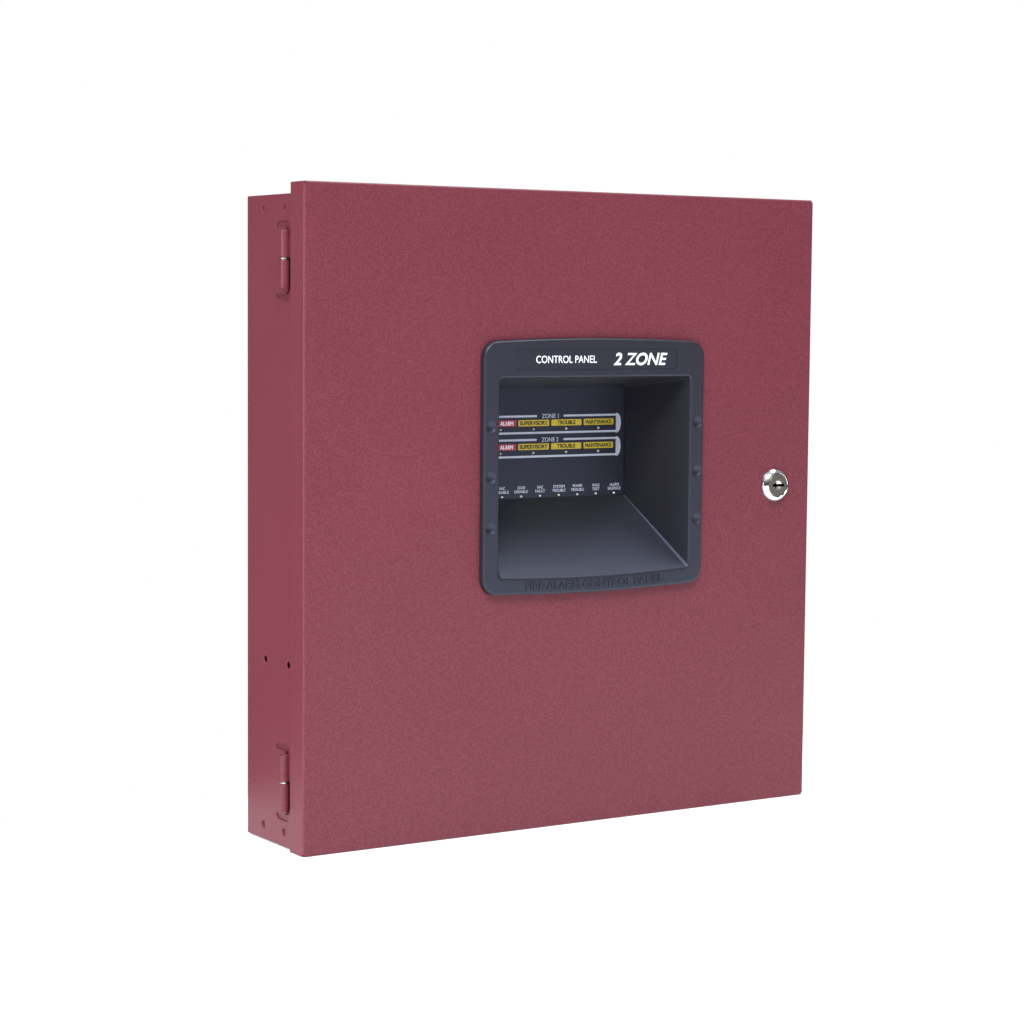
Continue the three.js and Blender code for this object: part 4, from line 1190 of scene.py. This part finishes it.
def lamp_row(row, columns):
    low, high = lamp_rows[row]
    lamp_z = (low.z + high.z) / 2
    bm = bmesh.new()
    for x in columns:
        made = bmesh.ops.create_uvsphere(bm, u_segments=20, v_segments=14, radius=1)["verts"]
        bmesh.ops.scale(bm, verts=made, vec=lamp_half)
        bmesh.ops.translate(bm, verts=made, vec=(x, label_low.y, lamp_z))
        rod_y(bm, x, lamp_z, rod_radius, label_low.y + 0.1 * MM, high.y - 1 * MM, sides=20)
    block(bm, (low.x, high.y - bar_depth, low.z), high)
    bmesh.ops.recalc_face_normals(bm, faces=bm.faces)
    name = f"light_pipes_{row}"
    finish_piece(f"{name}_domes", bm, lens_white, "cabinet", [name], 35)


lamp_row("zone_1", zone_columns)
lamp_row("zone_2", zone_columns)
lamp_row("system", system_columns)
print("lamps:", 2 * len(zone_columns) + len(system_columns))


# %% [markdown]
# The remaining parts already have their true shapes in the frame. Each is copied, its triangles
# joined into whole faces, its edges rounded by what its process leaves, and its own finish
# applied. A part whose finish or edge isn't the usual one of its slot is listed by name.

# %% Finishes of the frame's parts
usual_edge = 0.15 * MM
finishes = {
    "red_paint": red,
    "zinc_steel": zinc,
    "chrome": chrome,
    "black_plastic": abs_black,
    "label_film": film,
    "board_green": solder_mask,
    "battery_case": battery_abs,
    "terminal_green": terminal_nylon,
    "relay_black": black_nylon,
    "capacitor_sleeve": sleeve_film,
    "lamp_white": lens_white,
    "copper_winding": winding_tape,
    "aluminium": aluminium,
    "glass": glass,
    "red_wire": red_pvc,
    "black_wire": black_pvc,
    "button_grey": button_abs,
}
named_finishes = {
    "cabinet": (red, 0.35 * MM),
    "hinge_plate_upper": (red, 0.35 * MM),
    "hinge_plate_lower": (red, 0.35 * MM),
    "door_knuckle_upper": (red, 0.3 * MM),
    "door_knuckle_lower": (red, 0.3 * MM),
    "display_housing": (abs_black, 0.4 * MM),
    "display_label": (film, 0.0),
    "battery_left": (battery_abs, 0.8 * MM),
    "battery_right": (battery_abs, 0.8 * MM),
    "transformer_core": (zinc, 0.2 * MM),
    "transformer_strap": (zinc, 0.3 * MM),
    "transformer_winding": (winding_tape, 0.5 * MM),
    "heat_sink": (aluminium, 0.2 * MM),
    "terminal_strip_mains": (black_nylon, 0.3 * MM),
    "fuse": (glass, 0.3 * MM),
}


# %% [markdown]
# A bevel modifier holds every edge back as soon as two bevels would meet anywhere on the piece,
# and the many short edges of a rolled sheet would leave it almost nothing. So that clamp is off
# for the cabinet and the hinges' rolled sheets, whose edges are far enough apart where it
# matters.

# %% The cabinet, the hinges and the parts inside
unclamped = {"cabinet", "hinge_plate_upper", "hinge_plate_lower"}
unclamped |= {"door_knuckle_upper", "door_knuckle_lower"}
already_made = {"door_shell", "bezel", "nameplate", "lock_housing", "lock_plug"}
already_made |= {f"light_pipes_{row}" for row in lamp_rows}
remaining = sorted(set(frame["nodes"]) - already_made)
for node in remaining:
    usual = (finishes[slot_of_node(node)], usual_edge)
    material, edge = named_finishes.get(node, usual)
    finished_copy(node, material, edge, clamp=node not in unclamped)
print("parts finished from the frame:", len(remaining))


# %% [markdown]
# The panel stands over a small white floor that glows faintly, so that it stays white under soft
# light. It lies mostly in front, where it lights the door from below without laying a grey sheen
# on the cabinet's side.

# %% The floor
floor_half, floor_forward = 1.6, 1.5
floor_mesh = bmesh.new()
bmesh.ops.create_grid(floor_mesh, x_segments=1, y_segments=1, size=floor_half)
floor_place = (0, -floor_forward, cad_box[0].z - 0.1 * MM)
bmesh.ops.translate(floor_mesh, verts=floor_mesh.verts, vec=floor_place)
floor_data = bpy.data.meshes.new("floor")
floor_mesh.to_mesh(floor_data)
floor_mesh.free()
floor = bpy.data.objects.new("floor", floor_data)
bpy.context.collection.objects.link(floor)
paper, _, shader, _ = new_material("studio_paper", 0.9)
shader.inputs["Base Color"].default_value = colour("#fbfbfb")
shader.inputs["Emission Color"].default_value = colour("#ffffff")
shader.inputs["Emission Strength"].default_value = 0.25
floor_data.materials.append(paper)
print("floor at", round(floor_place[2], 4))


# %% [markdown]
# A wide soft sky does most of the lighting. It is dark near the horizon and bright overhead, and
# brighter on the left than on the right, so that the chrome and the hood's walls have something
# to reflect. The camera itself sees plain white behind the panel: a light path node tells its
# rays apart.

# %% The sky
world = bpy.data.worlds.new("studio")
bpy.context.scene.world = world
world.use_nodes = True
sky = world.node_tree


def fade(value, start, end, start_light, end_light):
    """Light that goes smoothly between two strengths as the value goes from start to end."""
    made = add_node(
        sky,
        "ShaderNodeMapRange",
        {
            "Value": value,
            "From Min": start,
            "From Max": end,
            "To Min": start_light,
            "To Max": end_light,
        },
        interpolation_type="SMOOTHSTEP",
    )
    return made.outputs["Result"]


direction = add_node(sky, "ShaderNodeTexCoord").outputs["Generated"]
along = add_node(sky, "ShaderNodeSeparateXYZ", {"Vector": direction})
upward = fade(along.outputs["Z"], 0.14, 0.7, 0.1, 1.0)
leftward = fade(along.outputs["X"], -0.45, 0.5, 1.0, 0.42)
glow = add_node(sky, "ShaderNodeMath", {0: upward, 1: leftward}, operation="MULTIPLY")
seen = add_node(sky, "ShaderNodeLightPath").outputs["Is Camera Ray"]
# A Mix node of numbers has its two values at places 2 and 3.
strength = add_node(
    sky,
    "ShaderNodeMix",
    {"Factor": seen, 2: glow.outputs["Value"], 3: 1.0},
    data_type="FLOAT",
)
sky.links.new(strength.outputs[0], sky.nodes["Background"].inputs["Strength"])
sky.nodes["Background"].inputs["Color"].default_value = (1, 1, 1, 1)
print("sky:", len(sky.nodes), "nodes")


# %% [markdown]
# Three large panels add shape to the sky's light. The key stands high in front on the left. The
# top one hangs above on the right and brightens the hood's sloping floor. The side one stands low
# on the left, where it lights the cabinet's side. All of them face the point that the camera
# looks at.

# %% The panel lights
def panel_light(name, place, size, power):
    """A large soft light at a place in metres, with its width and height and its power in watts."""
    data = bpy.data.lights.new(name, "AREA")
    data.shape = "RECTANGLE"
    data.size, data.size_y = size
    data.energy = power
    light = bpy.data.objects.new(name, data)
    light.location = Vector(place)
    light.rotation_mode = "QUATERNION"
    light.rotation_quaternion = (aim - light.location).to_track_quat("-Z", "Y")
    bpy.context.collection.objects.link(light)


panel_light("key", (-1.0, -1.4, 1.9), (1.3, 0.8), 64)
panel_light("top", (0.55, -0.25, 1.5), (0.8, 0.6), 14)
panel_light("side", (-1.4, 0.15, 0.1), (0.8, 0.6), 10)
print("lights:", len(bpy.data.lights))
